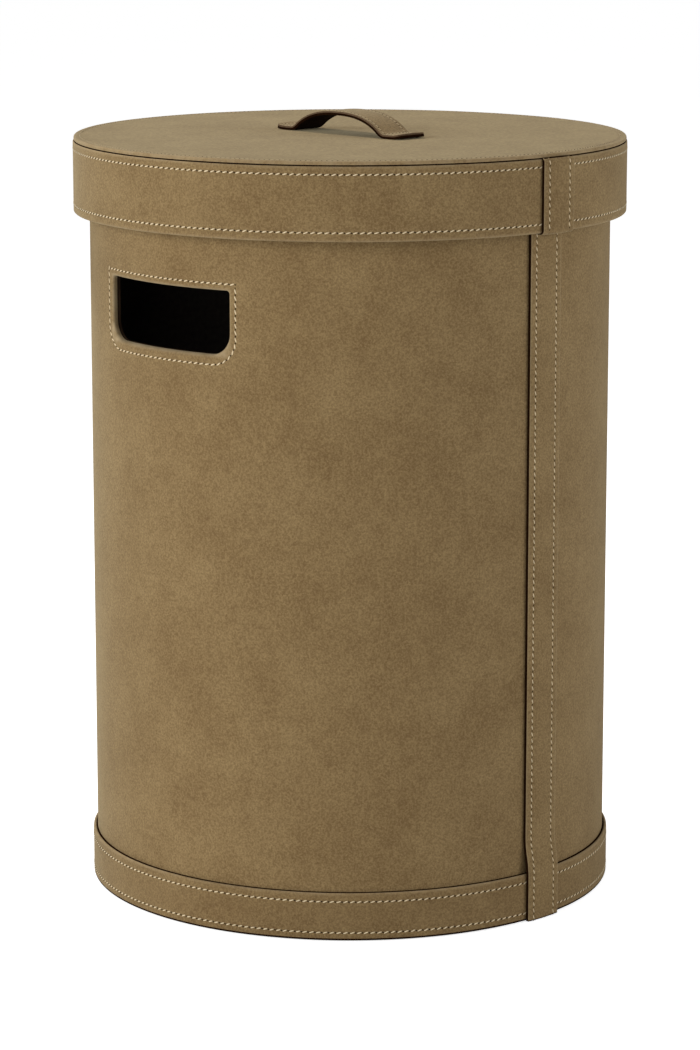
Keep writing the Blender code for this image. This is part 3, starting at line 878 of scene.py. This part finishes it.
# %% Discs of cloth and felt
def soft_disc(name, node, finish, body, material_slot):
    """A round of cloth or felt with a slightly soft edge, in a node's own box."""
    radius = reach(node)
    bottom = low(node)
    height = top(node)
    ease = (height - bottom) * 0.35
    rings = [radius * share for share in (0.25, 0.5, 0.75, 0.95)]
    section = [(0.0, bottom)] + [(ring, bottom) for ring in rings]
    section += [(radius - ease, bottom), (radius, bottom + ease)]
    section += [(radius, height - ease), (radius - ease, height)]
    section += [(ring, height) for ring in reversed(rings)] + [(0.0, height)]
    mesh = sweep(name, section, finish, 0.0, 1.0)
    lay_cloth_map(mesh)
    disc = show(name, mesh, 60)
    place(disc, body, node, material_slot)


soft_disc("floor_cloth", "floor_lining", LINING_CLOTH, "bin", "lining_cloth")
soft_disc("lid_cloth", "lid_lining", LINING_CLOTH, "lid", "lining_cloth")
soft_disc("foot_felt", "base_felt", BASE_FELT, "bin", "black_felt")

# %% Rim lining
lining_face = reach("lid_rim_lining") - CLOTH
lining_rows = [low("lid_rim_lining"), top("lid_rim_lining")]
rim_section = [(lining_face, lining_rows[1]), (lining_face, lining_rows[0])]
rim_section += [(lining_face + CLOTH, lining_rows[0]), (lining_face + CLOTH, lining_rows[1])]
rim_cloth = show("rim_cloth", sweep("rim_cloth", rim_section, LINING_CLOTH, 0.0, 1.0))
place(rim_cloth, "lid", "lid_rim_lining", "lining_cloth")

# %% [markdown]
# ## Sheets with hand slots
#
# The drum's cover and its lining are bent sheets with two shaped windows, and the cover's leather rolls in
# round each window. A Boolean cut would leave a sharp edge and long slivers, so the mesh is laid out: a grid
# round the drum that leaves a square window for each slot, and rings that follow the slot's outline inside
# it.


# %% Slot outline
def slot_outline(margin):
    """Points (y, z) round a slot, grown by a margin; square-topped and round-bottomed."""
    half_width = SLOT_HALF_WIDTH + margin
    floor_height = SLOT_LOW - margin
    roof = SLOT_TOP + margin
    lower = SLOT_LOWER_CORNER + margin
    upper = SLOT_UPPER_CORNER + margin
    corners = [
        arc((half_width - lower, floor_height + lower), lower, -90, 0, 9),
        arc((half_width - upper, roof - upper), upper, 0, 90, 6),
        arc((upper - half_width, roof - upper), upper, 90, 180, 6),
        arc((lower - half_width, floor_height + lower), lower, 180, 270, 9),
    ]
    runs = (3, 20, 3, 16)
    points = []
    for i, corner in enumerate(corners):
        points += corner
        start = corner[-1]
        end = corners[(i + 1) % 4][0]
        shares = [step / runs[i] for step in range(1, runs[i])]
        points += [(start[0] + (end[0] - start[0]) * s, start[1] + (end[1] - start[1]) * s) for s in shares]
    return points


def on_side(side, radius, y, z):
    """Wrap a flat (y, z) point onto the drum's +X or -X side."""
    return (side * math.sqrt(radius**2 - y**2), y, z)


print("slot outline has", len(slot_outline(0.0)), "points")

# %% A slotted sheet
COLUMNS = 144
WINDOW = range(26, 46)
OPPOSITE = range(98, 118)
WINDOW_MARGIN = 13 * MM


def slotted_sheet(name, line, wall, lip, thickness, finish):
    """A sheet round the drum. line is its section, wall its radius, lip the rings
    (margin, depth) from each window in to the slot."""
    shape = bmesh.new()
    angles = [math.tau * i / COLUMNS for i in range(COLUMNS)]
    grid = []
    for radius, height in line:
        grid.append([shape.verts.new(round_axis(radius, angle, height)) for angle in angles])
    window_low = SLOT_LOW - WINDOW_MARGIN
    window_top = SLOT_TOP + WINDOW_MARGIN
    for i in range(len(line) - 1):
        middle = (line[i][1] + line[i + 1][1]) / 2
        pierced = window_low < middle < window_top and line[i][0] == line[i + 1][0] == wall
        for j in range(COLUMNS):
            if pierced and (j in WINDOW or j in OPPOSITE):
                continue
            k = (j + 1) % COLUMNS
            shape.faces.new((grid[i][j], grid[i][k], grid[i + 1][k], grid[i + 1][j]))
    for side in (1, -1):
        loops = []
        for margin, depth in lip:
            points = [on_side(side, wall - depth, y, z) for y, z in slot_outline(margin)]
            loops.append([shape.verts.new(point) for point in points])
        count = len(loops[0])
        for outer, inner in zip(loops, loops[1:]):
            for j in range(count):
                k = (j + 1) % count
                shape.faces.new((outer[j], outer[k], inner[k], inner[j]))
        ring = [shape.edges.get((loops[0][j], loops[0][(j + 1) % count])) for j in range(count)]
        frame_edges = []
        for edge in shape.edges:
            inside = all(window_low - MM < v.co.z < window_top + MM and v.co.x * side > 0 for v in edge.verts)
            at_slot = any(v in loops[-1] for v in edge.verts)
            if edge.is_boundary and inside and edge not in ring and not at_slot:
                frame_edges.append(edge)
        bmesh.ops.bridge_loops(shape, edges=ring + frame_edges)
    loose = [v for v in shape.verts if not v.link_faces]
    bmesh.ops.delete(shape, geom=loose, context="VERTS")
    bmesh.ops.recalc_face_normals(shape, faces=shape.faces)
    bmesh.ops.solidify(shape, geom=shape.faces[:], thickness=thickness)
    mesh = bpy.data.meshes.new(name)
    shape.to_mesh(mesh)
    shape.free()
    mesh.materials.append(finish)
    return mesh


def wall_rows(radius, start, end, spacing=8 * MM):
    """Rows up the wall; the windows' edges fall exactly on a row."""
    stops = [start, SLOT_LOW - WINDOW_MARGIN, SLOT_TOP + WINDOW_MARGIN, end]
    heights = [start]
    for lower, upper in zip(stops, stops[1:]):
        count = max(1, round((upper - lower) / spacing))
        heights += [lower + (upper - lower) * (i + 1) / count for i in range(count)]
    return [(radius, height) for height in heights]


print("window columns", len(WINDOW), "of", COLUMNS)

# %% Drum cover
COVER_LIP = [
    (11.0, 0.0),
    (8.5, 0.0),
    (6.6, 0.04),
    (5.4, 0.12),
    (4.4, 0.0),
    (3.4, -0.14),
    (2.6, -0.1),
    (1.9, 0.08),
    (1.3, 0.36),
    (0.82, 0.74),
    (0.45, 1.2),
    (0.18, 1.8),
    (0.04, 2.5),
    (0.0, 3.3),
    (0.0, 4.3),
]
cover_line = wall_rows(DRUM, low("body_cover"), MOUTH - FOLD)
cover_line += arc((DRUM - FOLD, MOUTH - FOLD), FOLD, 0, 90)[1:]
HEM_FACE = DRUM - 2 * PLY - WALL_BOARD - 2 * GAP
cover_line += arc((HEM_FACE + FOLD, MOUTH - FOLD), FOLD, 90, 180)
cover_line += [(HEM_FACE, MOUTH - MOUTH_HEM / 2), (HEM_FACE, MOUTH - MOUTH_HEM)]
cover_lip = [(margin * MM, depth * MM) for margin, depth in COVER_LIP]
cover_mesh = slotted_sheet("drum_cover", cover_line, DRUM, cover_lip, PLY * THINNED, COVER_LEATHER)


def slot_distance(point):
    """Rough distance of a point on the drum from the edge of the nearer slot."""
    across = max(abs(point.y) - SLOT_HALF_WIDTH, 0.0)
    up = max(SLOT_LOW - point.z, point.z - SLOT_TOP, 0.0)
    return math.hypot(across, up)


def cover_fold_and_highlight(point):
    """Pale at the slot's rolled edge, a painted highlight, and at the mouth's fold."""
    at_slot = max(0.0, 1 - slot_distance(point) / (2.4 * MM))
    at_mouth = max(0.0, 1 - abs(point.z - MOUTH) / (2 * MM))
    return min(1.0, at_slot + 0.6 * at_mouth)


# The paleness at the slot's rolled edge is a painted highlight
mark_folds(cover_mesh, cover_fold_and_highlight)
drum_cover = show("drum_cover", cover_mesh)
place(drum_cover, "bin", "body_cover", "cover_leather")

# %% Drum lining
LINING = reach("body_lining")
lining_line = wall_rows(LINING, low("body_lining"), top("body_lining"))
LINING_LIP = [(11 * MM, 0.0), (6 * MM, 0.0), (PLY + GAP, 0.0)]
lining_mesh = slotted_sheet("drum_lining", lining_line, LINING, LINING_LIP, CLOTH * THINNED, LINING_CLOTH)
lay_cloth_map(lining_mesh, LINING)
drum_lining = show("drum_lining", lining_mesh)
place(drum_lining, "bin", "body_lining", "lining_cloth")

# %% [markdown]
# ## Slot facings, strips and handle
#
# These pieces are strips of leather that follow a path. Each is skinned through a row
# of cross-sections. The seam strips have rounded edges and dip along each stitch row.


# %% Skinning helper
def skin_loops(name, loops, finishes, endless=False, finish_of=None):
    """Skin a row of closed loops; ends are capped unless the row is endless."""
    shape = bmesh.new()
    rows = [[shape.verts.new(point) for point in loop] for loop in loops]
    count = len(rows[0])
    pairs = list(zip(rows, rows[1:]))
    if endless:
        pairs.append((rows[-1], rows[0]))
    else:
        for end in (rows[0], rows[-1]):
            cap = shape.faces.new(end)
            cap.material_index = len(finishes) - 1
    for near, far in pairs:
        for i in range(count):
            j = (i + 1) % count
            face = shape.faces.new((near[i], near[j], far[j], far[i]))
            if finish_of is not None:
                face.material_index = finish_of(i)
    mesh = bpy.data.meshes.new(name)
    shape.to_mesh(mesh)
    shape.free()
    for finish in finishes:
        mesh.materials.append(finish)
    return mesh


print("skinning helper is ready")

# %% Slot facings
FACING_RINGS = [
    (0.1, 4.1),
    (1.0, 4.1),
    (1.0, 6.6),
    (8.0, 6.6),
    (8.0, 7.3),
    (7.6, 7.6),
    (6.0, 7.55),
    (1.1, 7.6),
    (0.5, 7.4),
    (0.1, 7.0),
]


def facing_highlight(point):
    """Painted highlight: paler along the inner edge of the slot, where the edge catches light."""
    on_edge = math.hypot(point.x, point.y) < DRUM - 6.8 * MM and slot_distance(point) < 0.7 * MM
    return 0.8 if on_edge else 0.0


# The facings are near-black, partly painted shade in the slot's jamb, with a painted highlight along their
# inner edge
for label, side in (("left", -1), ("right", 1)):
    rings = []
    for margin, depth in FACING_RINGS:
        outline = slot_outline(margin * MM)
        rings.append([on_side(side, DRUM - depth * MM, y, z) for y, z in outline])
    facing_mesh = skin_loops(f"slot_facing_{label}", rings, [DARK_LEATHER], True)
    mark_folds(facing_mesh, facing_highlight)
    facing = show(f"slot_facing_{label}", facing_mesh)
    place(facing, "bin", f"grip_facing_{label}", "cover_leather")


# %% Strip across and along
EDGE_ROUND = 1.6 * MM
EDGE_DROP = 0.3 * MM


def strip_across(half_width, ply):
    """(across, height) points of a strip's outer face: rounded edges, a dip at each row
    and a slight crown between the rows."""
    marks = stitched_run(-half_width, half_width, [-STRIP_ROW, STRIP_ROW], 4 * MM)
    marks = [mark for mark in marks if abs(mark[0]) < half_width - EDGE_ROUND]
    for share in (0.0, 0.08, 0.25, 0.5, 0.8):
        across = half_width - EDGE_ROUND * share
        marks += [(across, 0.0), (-across, 0.0)]
    points = []
    for across, dip in sorted(marks):
        near_edge = max(0.0, 1 - (half_width - abs(across)) / EDGE_ROUND)
        drop = EDGE_DROP * (1 - math.sqrt(1 - near_edge**2))
        crown = 0.2 * MM * max(0.0, 1 - (across / STRIP_ROW) ** 2)
        points.append((across, ply - dip - drop + crown))
    return points


def strip_loops(path, half_width, ply):
    """Loops along a path of (radius, height, out_radius, out_height) stations."""
    outer = strip_across(half_width, ply)
    inner = [(-half_width * (2 * i / 6 - 1), -0.2 * MM) for i in range(7)]
    loops = []
    for radius, height, out_radius, out_height in path:
        loop = []
        for across, lift in outer + inner:
            distance = radius + out_radius * lift
            loop.append(round_axis(distance, across / radius, height + out_height * lift))
        loops.append(loop)
    return loops


def strip_finish(index):
    """The outer face is leather; the cut edges and the underside are painted dark, and the dark long edges
    are also painted shade of the gap beside the strip.
    """
    return 0 if index < OUTER_FACES else 1


def path_with_normals(line):
    """Add the outward direction, to the right of travel, at each point of a line."""
    stations = []
    for i, point in enumerate(line):
        before = line[max(i - 1, 0)]
        after = line[min(i + 1, len(line) - 1)]
        along = (after[0] - before[0], after[1] - before[1])
        length = math.hypot(*along)
        stations.append((*point, along[1] / length, -along[0] / length))
    return stations


OUTER_FACES = len(strip_across(STRIP_WIDTH / 2, STRIP_PLY)) - 1
print("strip across has", OUTER_FACES, "faces on its outer side")

# %% Body seam strip
STRIP_REST = 0.3 * MM
CLIMB_TOP = BAND_TOP + 26 * MM
CLIMB_LOW = BAND_TOP - 1.0 * MM


def strip_radius(height):
    """Where the body strip lies: on the drum, and out over the band below its edge."""
    share = min(max((CLIMB_TOP - height) / (CLIMB_TOP - CLIMB_LOW), 0.0), 1.0)
    ease = share * share * (3 - 2 * share)
    return DRUM + STRIP_REST + ease * (BAND - DRUM)


strip_top = top("body_seam_strip")
strip_low = low("body_seam_strip")
strip_heights = [strip_low, strip_low + 0.7 * MM]
strip_heights += [strip_low + (CLIMB_LOW - strip_low) * i / 6 for i in range(1, 6)]
strip_heights += [CLIMB_LOW + (CLIMB_TOP - CLIMB_LOW) * i / 18 for i in range(18)]
strip_heights += [CLIMB_TOP + (strip_top - CLIMB_TOP) * i / 60 for i in range(61)]
STRIP_FINISHES = [COVER_LEATHER, EDGE_PAINT_AND_SHADE]
strip_path = path_with_normals([(strip_radius(height), height) for height in strip_heights])
strip_sections = strip_loops(strip_path, STRIP_WIDTH / 2, STRIP_PLY)
strip_mesh = skin_loops("seam_strip", strip_sections, STRIP_FINISHES, False, strip_finish)


def strip_fold(point):
    """Pale along the strip's two long edges."""
    edge = STRIP_WIDTH / 2 - abs(point.x)
    return 0.5 * max(0.0, 1 - edge / (1.2 * MM))


mark_folds(strip_mesh, strip_fold)
# The strip's foot is painted dark, a painted contact shadow along the floor like the band's lower edge
paint_edge_and_shade(strip_mesh, EDGE_PAINT_AND_SHADE, lambda p: p.z < strip_low + 0.7 * MM)
seam_strip = show("seam_strip", strip_mesh)
place(seam_strip, "bin", "body_seam_strip", "cover_leather")

# %% Lid seam strip
SKIVED = 1.2 * MM
END_TUCK = 1.3 * MM
REST = RIM + STRIP_REST
HEM_REST = RIM_HEM_FACE - STRIP_REST + SKIVED
TURN = RIM_LOW + FOLD - STRIP_REST + SKIVED
lid_strip_line = [(HEM_REST, RIM_LOW + STRIP_HEM), (HEM_REST, RIM_LOW + STRIP_HEM / 2)]
lid_strip_line += arc((HEM_REST + FOLD, TURN), FOLD, 180, 270, 4)
lid_strip_line += arc((REST - FOLD, TURN), FOLD, 270, 360, 4)
lid_strip_line += [(REST, TURN + (RIM_TOP - RIM_LOW - 2 * FOLD) * i / 12) for i in range(1, 11)]
lid_strip_line += arc((REST - FOLD, RIM_TOP - FOLD - END_TUCK), FOLD, 0, 80, 5)
lid_strip_path = path_with_normals(lid_strip_line)
lid_strip_sections = strip_loops(lid_strip_path, STRIP_WIDTH / 2, STRIP_PLY * THINNED)
lid_strip_mesh = skin_loops("lid_strip", lid_strip_sections, STRIP_FINISHES, False, strip_finish)
mark_folds(lid_strip_mesh, strip_fold)
# The strip's top end is painted dark as painted shade, continuing the seam line between disc and rim
paint_edge_and_shade(lid_strip_mesh, EDGE_PAINT_AND_SHADE, lambda p: p.z > RIM_TOP + 0.2 * MM)
lid_strip = show("lid_strip", lid_strip_mesh)
place(lid_strip, "lid", "lid_seam_strip", "cover_leather")

# %% [markdown]
# ## The strap handle
#
# Two plies of leather are sewn over a thin core, bent into a low flat-topped arch, and
# sewn down at both feet, whose tips lift a little. The lower ply's and the core's edges
# are painted dark, and the top ply's are burnished.

# %% Handle shape
strap_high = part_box("handle_top_ply")[1]
STRAP_HALF_LENGTH = strap_high[1]
STRAP_HALF_WIDTH = strap_high[0]
STRAP_RISE = 13.8 * MM
STRAP_HALF_SPAN = 43 * MM
STRAP_FULLNESS = 2.5
STRAP_SPRING = 0.8
FOOT_BLEND = 3 * MM
TIP_LIFT = 1.4 * MM
TIP_LENGTH = 9 * MM
STRAP_PLY = 1.15 * MM
STRAP_CORE = 0.5 * MM
STRAP_ROW = 3.2 * MM
CROSS_ROW = STRAP_HALF_SPAN + 2.5 * MM


def arch_height(distance):
    share = min(abs(distance) / STRAP_HALF_SPAN, 1.0)
    return STRAP_RISE * (1 - share**STRAP_FULLNESS) ** STRAP_SPRING


def strap_height(distance):
    """Height of the strap's underside: the arch, eased into its feet, and lifted tips."""
    eased = sum(arch_height(distance + FOOT_BLEND * step / 2) for step in range(-2, 3)) / 5
    tip = max(0.0, abs(distance) - (STRAP_HALF_LENGTH - TIP_LENGTH)) / TIP_LENGTH
    return LID_TOP + 0.15 * MM + eased + TIP_LIFT * tip**2


def strap_frame(distance):
    """A point under the strap and its upward direction, both as (y, z)."""
    step = 0.5 * MM
    slope = math.atan2(strap_height(distance + step) - strap_height(distance - step), 2 * step)
    return (distance, strap_height(distance)), (-math.sin(slope), math.cos(slope))


def strap_width(distance):
    """Half the strap's width; its corners are cut round."""
    corner = 4 * MM
    past = max(0.0, abs(distance) - (STRAP_HALF_LENGTH - corner))
    return STRAP_HALF_WIDTH - corner + math.sqrt(max(corner**2 - past**2, 0.0))


STATIONS = 72
station_turns = [math.pi / 2 * (2 * i / STATIONS - 1) for i in range(STATIONS + 1)]
strap_stations = [STRAP_HALF_LENGTH * math.sin(turn) for turn in station_turns]


# %% Handle layers
def layer_loops(lower, upper, inset, crown):
    """Loops of one layer between two offsets above the strap's underside."""
    loops = []
    for distance in strap_stations:
        (y, z), (up_y, up_z) = strap_frame(distance)
        half_width = strap_width(distance) - inset
        marks = [(-1.0, 0.35), (-0.97, 0.1), (-0.92, 0.0)]
        row_share = -1 + STRAP_ROW / STRAP_HALF_WIDTH
        marks += [(row_share + offset, dip) for offset, dip in ((-0.06, 0), (0, 0.6), (0.06, 0))]
        marks += [(-0.4, -0.5), (0.0, -0.7)]
        marks += [(-share, dip) for share, dip in reversed(marks[:-1])]
        loop = [(share * half_width, upper - dip * crown) for share, dip in marks]
        loop += [(half_width, lower), (0.0, lower), (-half_width, lower)]
        loops.append([(x, y + up_y * lift, z + up_z * lift) for x, lift in loop])
    return loops


def side_finish(index):
    """The upright sides of a layer take its second finish; its faces keep the first."""
    return 1 if index in SIDE_INDEXES else 0


FACE_POINTS = 15
SIDE_INDEXES = (0, FACE_POINTS - 2, FACE_POINTS - 1, FACE_POINTS + 2)
top_lower = STRAP_PLY + STRAP_CORE
layers = [
    ("strap_under", "handle_under_ply", 0.0, STRAP_PLY, 0.0, [DARK_LEATHER, EDGE_PAINT_AND_SHADE]),
    ("strap_core", "handle_core", STRAP_PLY, top_lower, -0.1 * MM, [EDGE_PAINT_AND_SHADE, EDGE_PAINT_AND_SHADE]),
    ("strap_top", "handle_top_ply", top_lower, top_lower + STRAP_PLY, 0.0, [HANDLE_LEATHER, BURNISHED_EDGE]),
]
for name, node, lower, upper, inset, finishes in layers:
    crown = 0.25 * MM if name == "strap_top" else 0.0
    layer_sections = layer_loops(lower, upper, inset, crown)
    layer = show(name, skin_loops(name, layer_sections, finishes, False, side_finish))
    slot_name = {"strap_top": "cover_leather", "strap_under": "strap_backing"}.get(name, "greyboard")
    place(layer, "lid", node, slot_name)

# %% [markdown]
# ## Stitches with Geometry Nodes
#
# There are over eighteen hundred stitches, made alike, each on a path. A tree places them: it cuts each path
# into half pitches, and puts a thread on every other point and, on the points between, a dark grain that is
# painted shade of the needle hole. Each path point carries the direction that faces out of the leather, so
# that threads lie flat on it.


# %% The stitch tree
def squashed_ball(tree, segments, rings, length, width, height, material):
    """A ball stretched into a grain, with its finish."""
    ball = tree.nodes.new("GeometryNodeMeshUVSphere")
    ball.inputs["Segments"].default_value = segments
    ball.inputs["Rings"].default_value = rings
    ball.inputs["Radius"].default_value = 0.5
    shaped = tree.nodes.new("GeometryNodeTransform")
    plug(tree, ball.outputs["Mesh"], shaped.inputs["Geometry"])
    plug(tree, vector_of(tree, length, width, height), shaped.inputs["Scale"])
    smooth = tree.nodes.new("GeometryNodeSetShadeSmooth")
    plug(tree, shaped.outputs["Geometry"], smooth.inputs["Geometry"])
    finish = tree.nodes.new("GeometryNodeSetMaterial")
    plug(tree, smooth.outputs["Geometry"], finish.inputs["Geometry"])
    plug(tree, material, finish.inputs["Material"])
    return finish.outputs["Geometry"]


def scatter(tree, points, selection, shape, rotation):
    node = tree.nodes.new("GeometryNodeInstanceOnPoints")
    plug(tree, points, node.inputs["Points"])
    plug(tree, selection, node.inputs["Selection"])
    plug(tree, shape, node.inputs["Instance"])
    plug(tree, rotation, node.inputs["Rotation"])
    return node.outputs["Instances"]


def make_stitch_tree():
    tree = bpy.data.node_groups.new("stitch_rows", "GeometryNodeTree")
    specs = [
        ("Paths", "NodeSocketGeometry", None),
        ("Pitch", "NodeSocketFloat", 0.0048),
        ("Stitch Length", "NodeSocketFloat", 0.0035),
        ("Thread Width", "NodeSocketFloat", 0.00095),
        ("Slant", "NodeSocketFloat", 0.35),
        ("Unevenness", "NodeSocketFloat", 0.07),
        ("Seed", "NodeSocketInt", 4),
        ("Thread", "NodeSocketMaterial", None),
        ("Hole", "NodeSocketMaterial", None),
    ]
    given, result = tree_sockets(tree, specs)
    curve = tree.nodes.new("GeometryNodeMeshToCurve")
    plug(tree, given["Paths"], curve.inputs["Mesh"])
    cut = tree.nodes.new("GeometryNodeResampleCurve")
    cut.mode = "LENGTH"
    plug(tree, curve.outputs["Curve"], cut.inputs["Curve"])
    plug(tree, maths(tree, "MULTIPLY", given["Pitch"], 0.5), cut.inputs["Length"])
    out = tree.nodes.new("GeometryNodeInputNamedAttribute")
    out.data_type = "FLOAT_VECTOR"
    out.inputs["Name"].default_value = "out"
    tangent = tree.nodes.new("GeometryNodeInputTangent")
    axes = tree.nodes.new("FunctionNodeAxesToRotation")
    axes.primary_axis = "Z"
    axes.secondary_axis = "X"
    plug(tree, out.outputs["Attribute"], axes.inputs[0])
    plug(tree, tangent.outputs[0], axes.inputs[1])
    wobble = tree.nodes.new("FunctionNodeRandomValue")
    wobble.data_type = "FLOAT"
    plug(tree, maths(tree, "SUBTRACT", given["Slant"], given["Unevenness"]), wobble.inputs[2])
    plug(tree, maths(tree, "ADD", given["Slant"], given["Unevenness"]), wobble.inputs[3])
    plug(tree, given["Seed"], wobble.inputs["Seed"])
    turn = tree.nodes.new("FunctionNodeEulerToRotation")
    plug(tree, vector_of(tree, 0.0, 0.0, wobble.outputs[1]), turn.inputs[0])
    turned = tree.nodes.new("FunctionNodeRotateRotation")
    turned.rotation_space = "LOCAL"
    plug(tree, axes.outputs[0], turned.inputs[0])
    plug(tree, turn.outputs[0], turned.inputs[1])
    order = tree.nodes.new("GeometryNodeSplineParameter").outputs["Index"]
    is_thread = maths(tree, "MODULO", order, 2.0)
    is_hole = maths(tree, "SUBTRACT", 1.0, is_thread)
    width = given["Thread Width"]
    thickness = maths(tree, "MULTIPLY", width, 0.48)
    thread = squashed_ball(tree, 10, 6, given["Stitch Length"], width, thickness, given["Thread"])
    hole_width = maths(tree, "MULTIPLY", width, 1.1)
    hole_depth = maths(tree, "MULTIPLY", width, 0.42)
    hole_length = maths(tree, "MULTIPLY", width, 1.4)
    hole = squashed_ball(tree, 8, 4, hole_length, hole_width, hole_depth, given["Hole"])
    threads = scatter(tree, cut.outputs["Curve"], is_thread, thread, turned.outputs[0])
    holes = scatter(tree, cut.outputs["Curve"], is_hole, hole, axes.outputs[0])
    both = tree.nodes.new("GeometryNodeJoinGeometry")
    tree.links.new(threads, both.inputs["Geometry"])
    tree.links.new(holes, both.inputs["Geometry"])
    real = tree.nodes.new("GeometryNodeRealizeInstances")
    plug(tree, both.outputs["Geometry"], real.inputs["Geometry"])
    plug(tree, real.outputs["Geometry"], result["Geometry"])
    return tree


STITCHES = make_stitch_tree()
print("stitch tree has", len(STITCHES.nodes), "nodes")

# %% Paths for the rows
ROW_STEP = 3 * MM
STRIP_CLEAR = STRIP_WIDTH / 2 + 1.0 * MM


def ring_row(radius, height, cyclic=False):
    """A row round the bin that stops at the strip's edges, or a full ring."""
    start = 0.0 if cyclic else STRIP_CLEAR / radius
    count = round(math.tau * radius / ROW_STEP)
    steps = range(count) if cyclic else range(count + 1)
    angles = [start + (math.tau - 2 * start) * i / count for i in steps]
    return [(round_axis(radius, angle, height), round_axis(1.0, angle, 0.0)) for angle in angles], cyclic


def strip_row(path, across, lift):
    """A row along a strip's upright part, at a place across it."""
    upright = [station for station in path if station[2] > 0.97]
    row = []
    for radius, height, out_radius, out_height in upright:
        angle = across / radius
        point = round_axis(radius + out_radius * lift, angle, height + out_height * lift)
        row.append((point, round_axis(out_radius, angle, out_height)))
    return row, False


def slot_row(side, radius):
    """A closed row round a slot: square at the top, round at the bottom, and closer
    to the slot's top edge than to its bottom edge."""
    half_width = SLOT_HALF_WIDTH + SLOT_ROW
    roof = SLOT_TOP + SLOT_ROW_ABOVE
    floor_height = SLOT_LOW - SLOT_ROW_BELOW
    corner = SLOT_LOWER_CORNER + 3 * MM
    outline = [(-half_width, roof), (half_width, roof)]
    right = arc((half_width - corner, floor_height + corner), corner, 0, -90, 10)
    left = arc((corner - half_width, floor_height + corner), corner, 270, 180, 10)
    row = []
    corners = outline + right + left
    for start, end in zip(corners, corners[1:] + corners[:1]):
        steps = max(1, round(math.dist(start, end) / ROW_STEP))
        for i in range(steps):
            y = start[0] + (end[0] - start[0]) * i / steps
            z = start[1] + (end[1] - start[1]) * i / steps
            point = on_side(side, radius, y, z)
            row.append((point, (point[0] / radius, point[1] / radius, 0.0)))
    return row, True


def strap_row(start, end, x_start, x_end, lift, count):
    """A row on the strap between two places, each a distance along it and across it."""
    row = []
    for i in range(count + 1):
        share = i / count
        distance = start + (end - start) * share
        (y, z), (up_y, up_z) = strap_frame(distance)
        x = x_start + (x_end - x_start) * share
        row.append(((x, y + up_y * lift, z + up_z * lift), (0.0, up_y, up_z)))
    return row, False


def sew(name, rows, body, values):
    """Make one piece of stitches from a list of rows."""
    points = []
    outs = []
    edges = []
    for row, cyclic in rows:
        first = len(points)
        for point, out in row:
            points.append(point)
            outs.append(out)
        edges += [(i, i + 1) for i in range(first, len(points) - 1)]
        if cyclic:
            edges.append((len(points) - 1, first))
    mesh = bpy.data.meshes.new(f"{name}_paths")
    mesh.from_pydata(points, edges, [])
    attribute = mesh.attributes.new("out", "FLOAT_VECTOR", "POINT")
    for value, out in zip(attribute.data, outs):
        value.vector = out
    thing = show(name, run_tree(name, mesh, STITCHES, values), 80)
    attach(thing, body)


print("row helpers are ready")

# %% Sewing the bin
SUNK = STITCH_DIP - 0.12 * MM
CREAM = {"Thread": CREAM_THREAD, "Hole": NEEDLE_HOLE_SHADE}
FINE_CREAM = {**CREAM, "Thread Width": 0.8 * MM, "Stitch Length": 3.4 * MM}
bin_rows = [ring_row(BAND - SUNK, BAND_UPPER_ROW), ring_row(BAND - SUNK, BAND_LOWER_ROW)]
bin_rows += [slot_row(side, DRUM - SUNK) for side in (-1, 1)]
sew("bin_stitches", bin_rows, "bin", CREAM)
strip_rows = [strip_row(strip_path, across, STRIP_PLY - SUNK) for across in (-STRIP_ROW, STRIP_ROW)]
sew("strip_stitches", strip_rows, "bin", FINE_CREAM)

# %% Sewing the lid
lid_rows = [ring_row(RIM - SUNK, RIM_UPPER_ROW), ring_row(RIM - SUNK, RIM_LOWER_ROW)]
sew("lid_stitches", lid_rows, "lid", CREAM)
lid_strip_face = STRIP_PLY * THINNED - SUNK
lid_strip_rows = [strip_row(lid_strip_path, across, lid_strip_face) for across in (-STRIP_ROW, STRIP_ROW)]
sew("lid_strip_stitches", lid_strip_rows, "lid", FINE_CREAM)

# %% Sewing the lid's top and the strap
TAN = {
    "Thread": TAN_THREAD,
    "Hole": NEEDLE_HOLE_SHADE,
    "Pitch": 3.6 * MM,
    "Stitch Length": 2.9 * MM,
    "Thread Width": 0.75 * MM,
}
CROSS_LIFT = 0.15 * MM
disc_row, is_ring = ring_row(DISC_ROW, LID_TOP - SUNK, True)
disc_row = [(point, (0.0, 0.0, 1.0)) for point, out in disc_row]
strap_face = top_lower + STRAP_PLY - SUNK
row_x = STRAP_HALF_WIDTH - STRAP_ROW
tip = STRAP_HALF_LENGTH - STRAP_ROW
top_rows = [(disc_row, is_ring)]
for side in (-1, 1):
    top_rows.append(strap_row(-tip, tip, side * row_x, side * row_x, strap_face, 60))
    for distance in (CROSS_ROW, tip):
        along = side * distance
        top_rows.append(strap_row(along, along, -row_x, row_x, strap_face + CROSS_LIFT, 8))
sew("top_stitches", top_rows, "lid", TAN)

# %% [markdown]
# ## Boards and tape
#
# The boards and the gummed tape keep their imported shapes. They are hidden under
# leather and cloth, and they still get the finish of grey board and brown paper.

# %% Finishes of the kept nodes
BOARDS = [
    "body_board_left",
    "body_board_right",
    "base_board",
    "base_band_core",
    "lid_board",
    "lid_inner_board",
    "lid_rim_board",
]
TAPES = ["board_joint_tape_front", "board_joint_tape_back"]
for names, finish in ((BOARDS, GREYBOARD), (TAPES, PAPER_TAPE)):
    for name in names:
        for material_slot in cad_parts[name].material_slots:
            material_slot.material = finish
print("finished", len(BOARDS), "boards and", len(TAPES), "tapes")
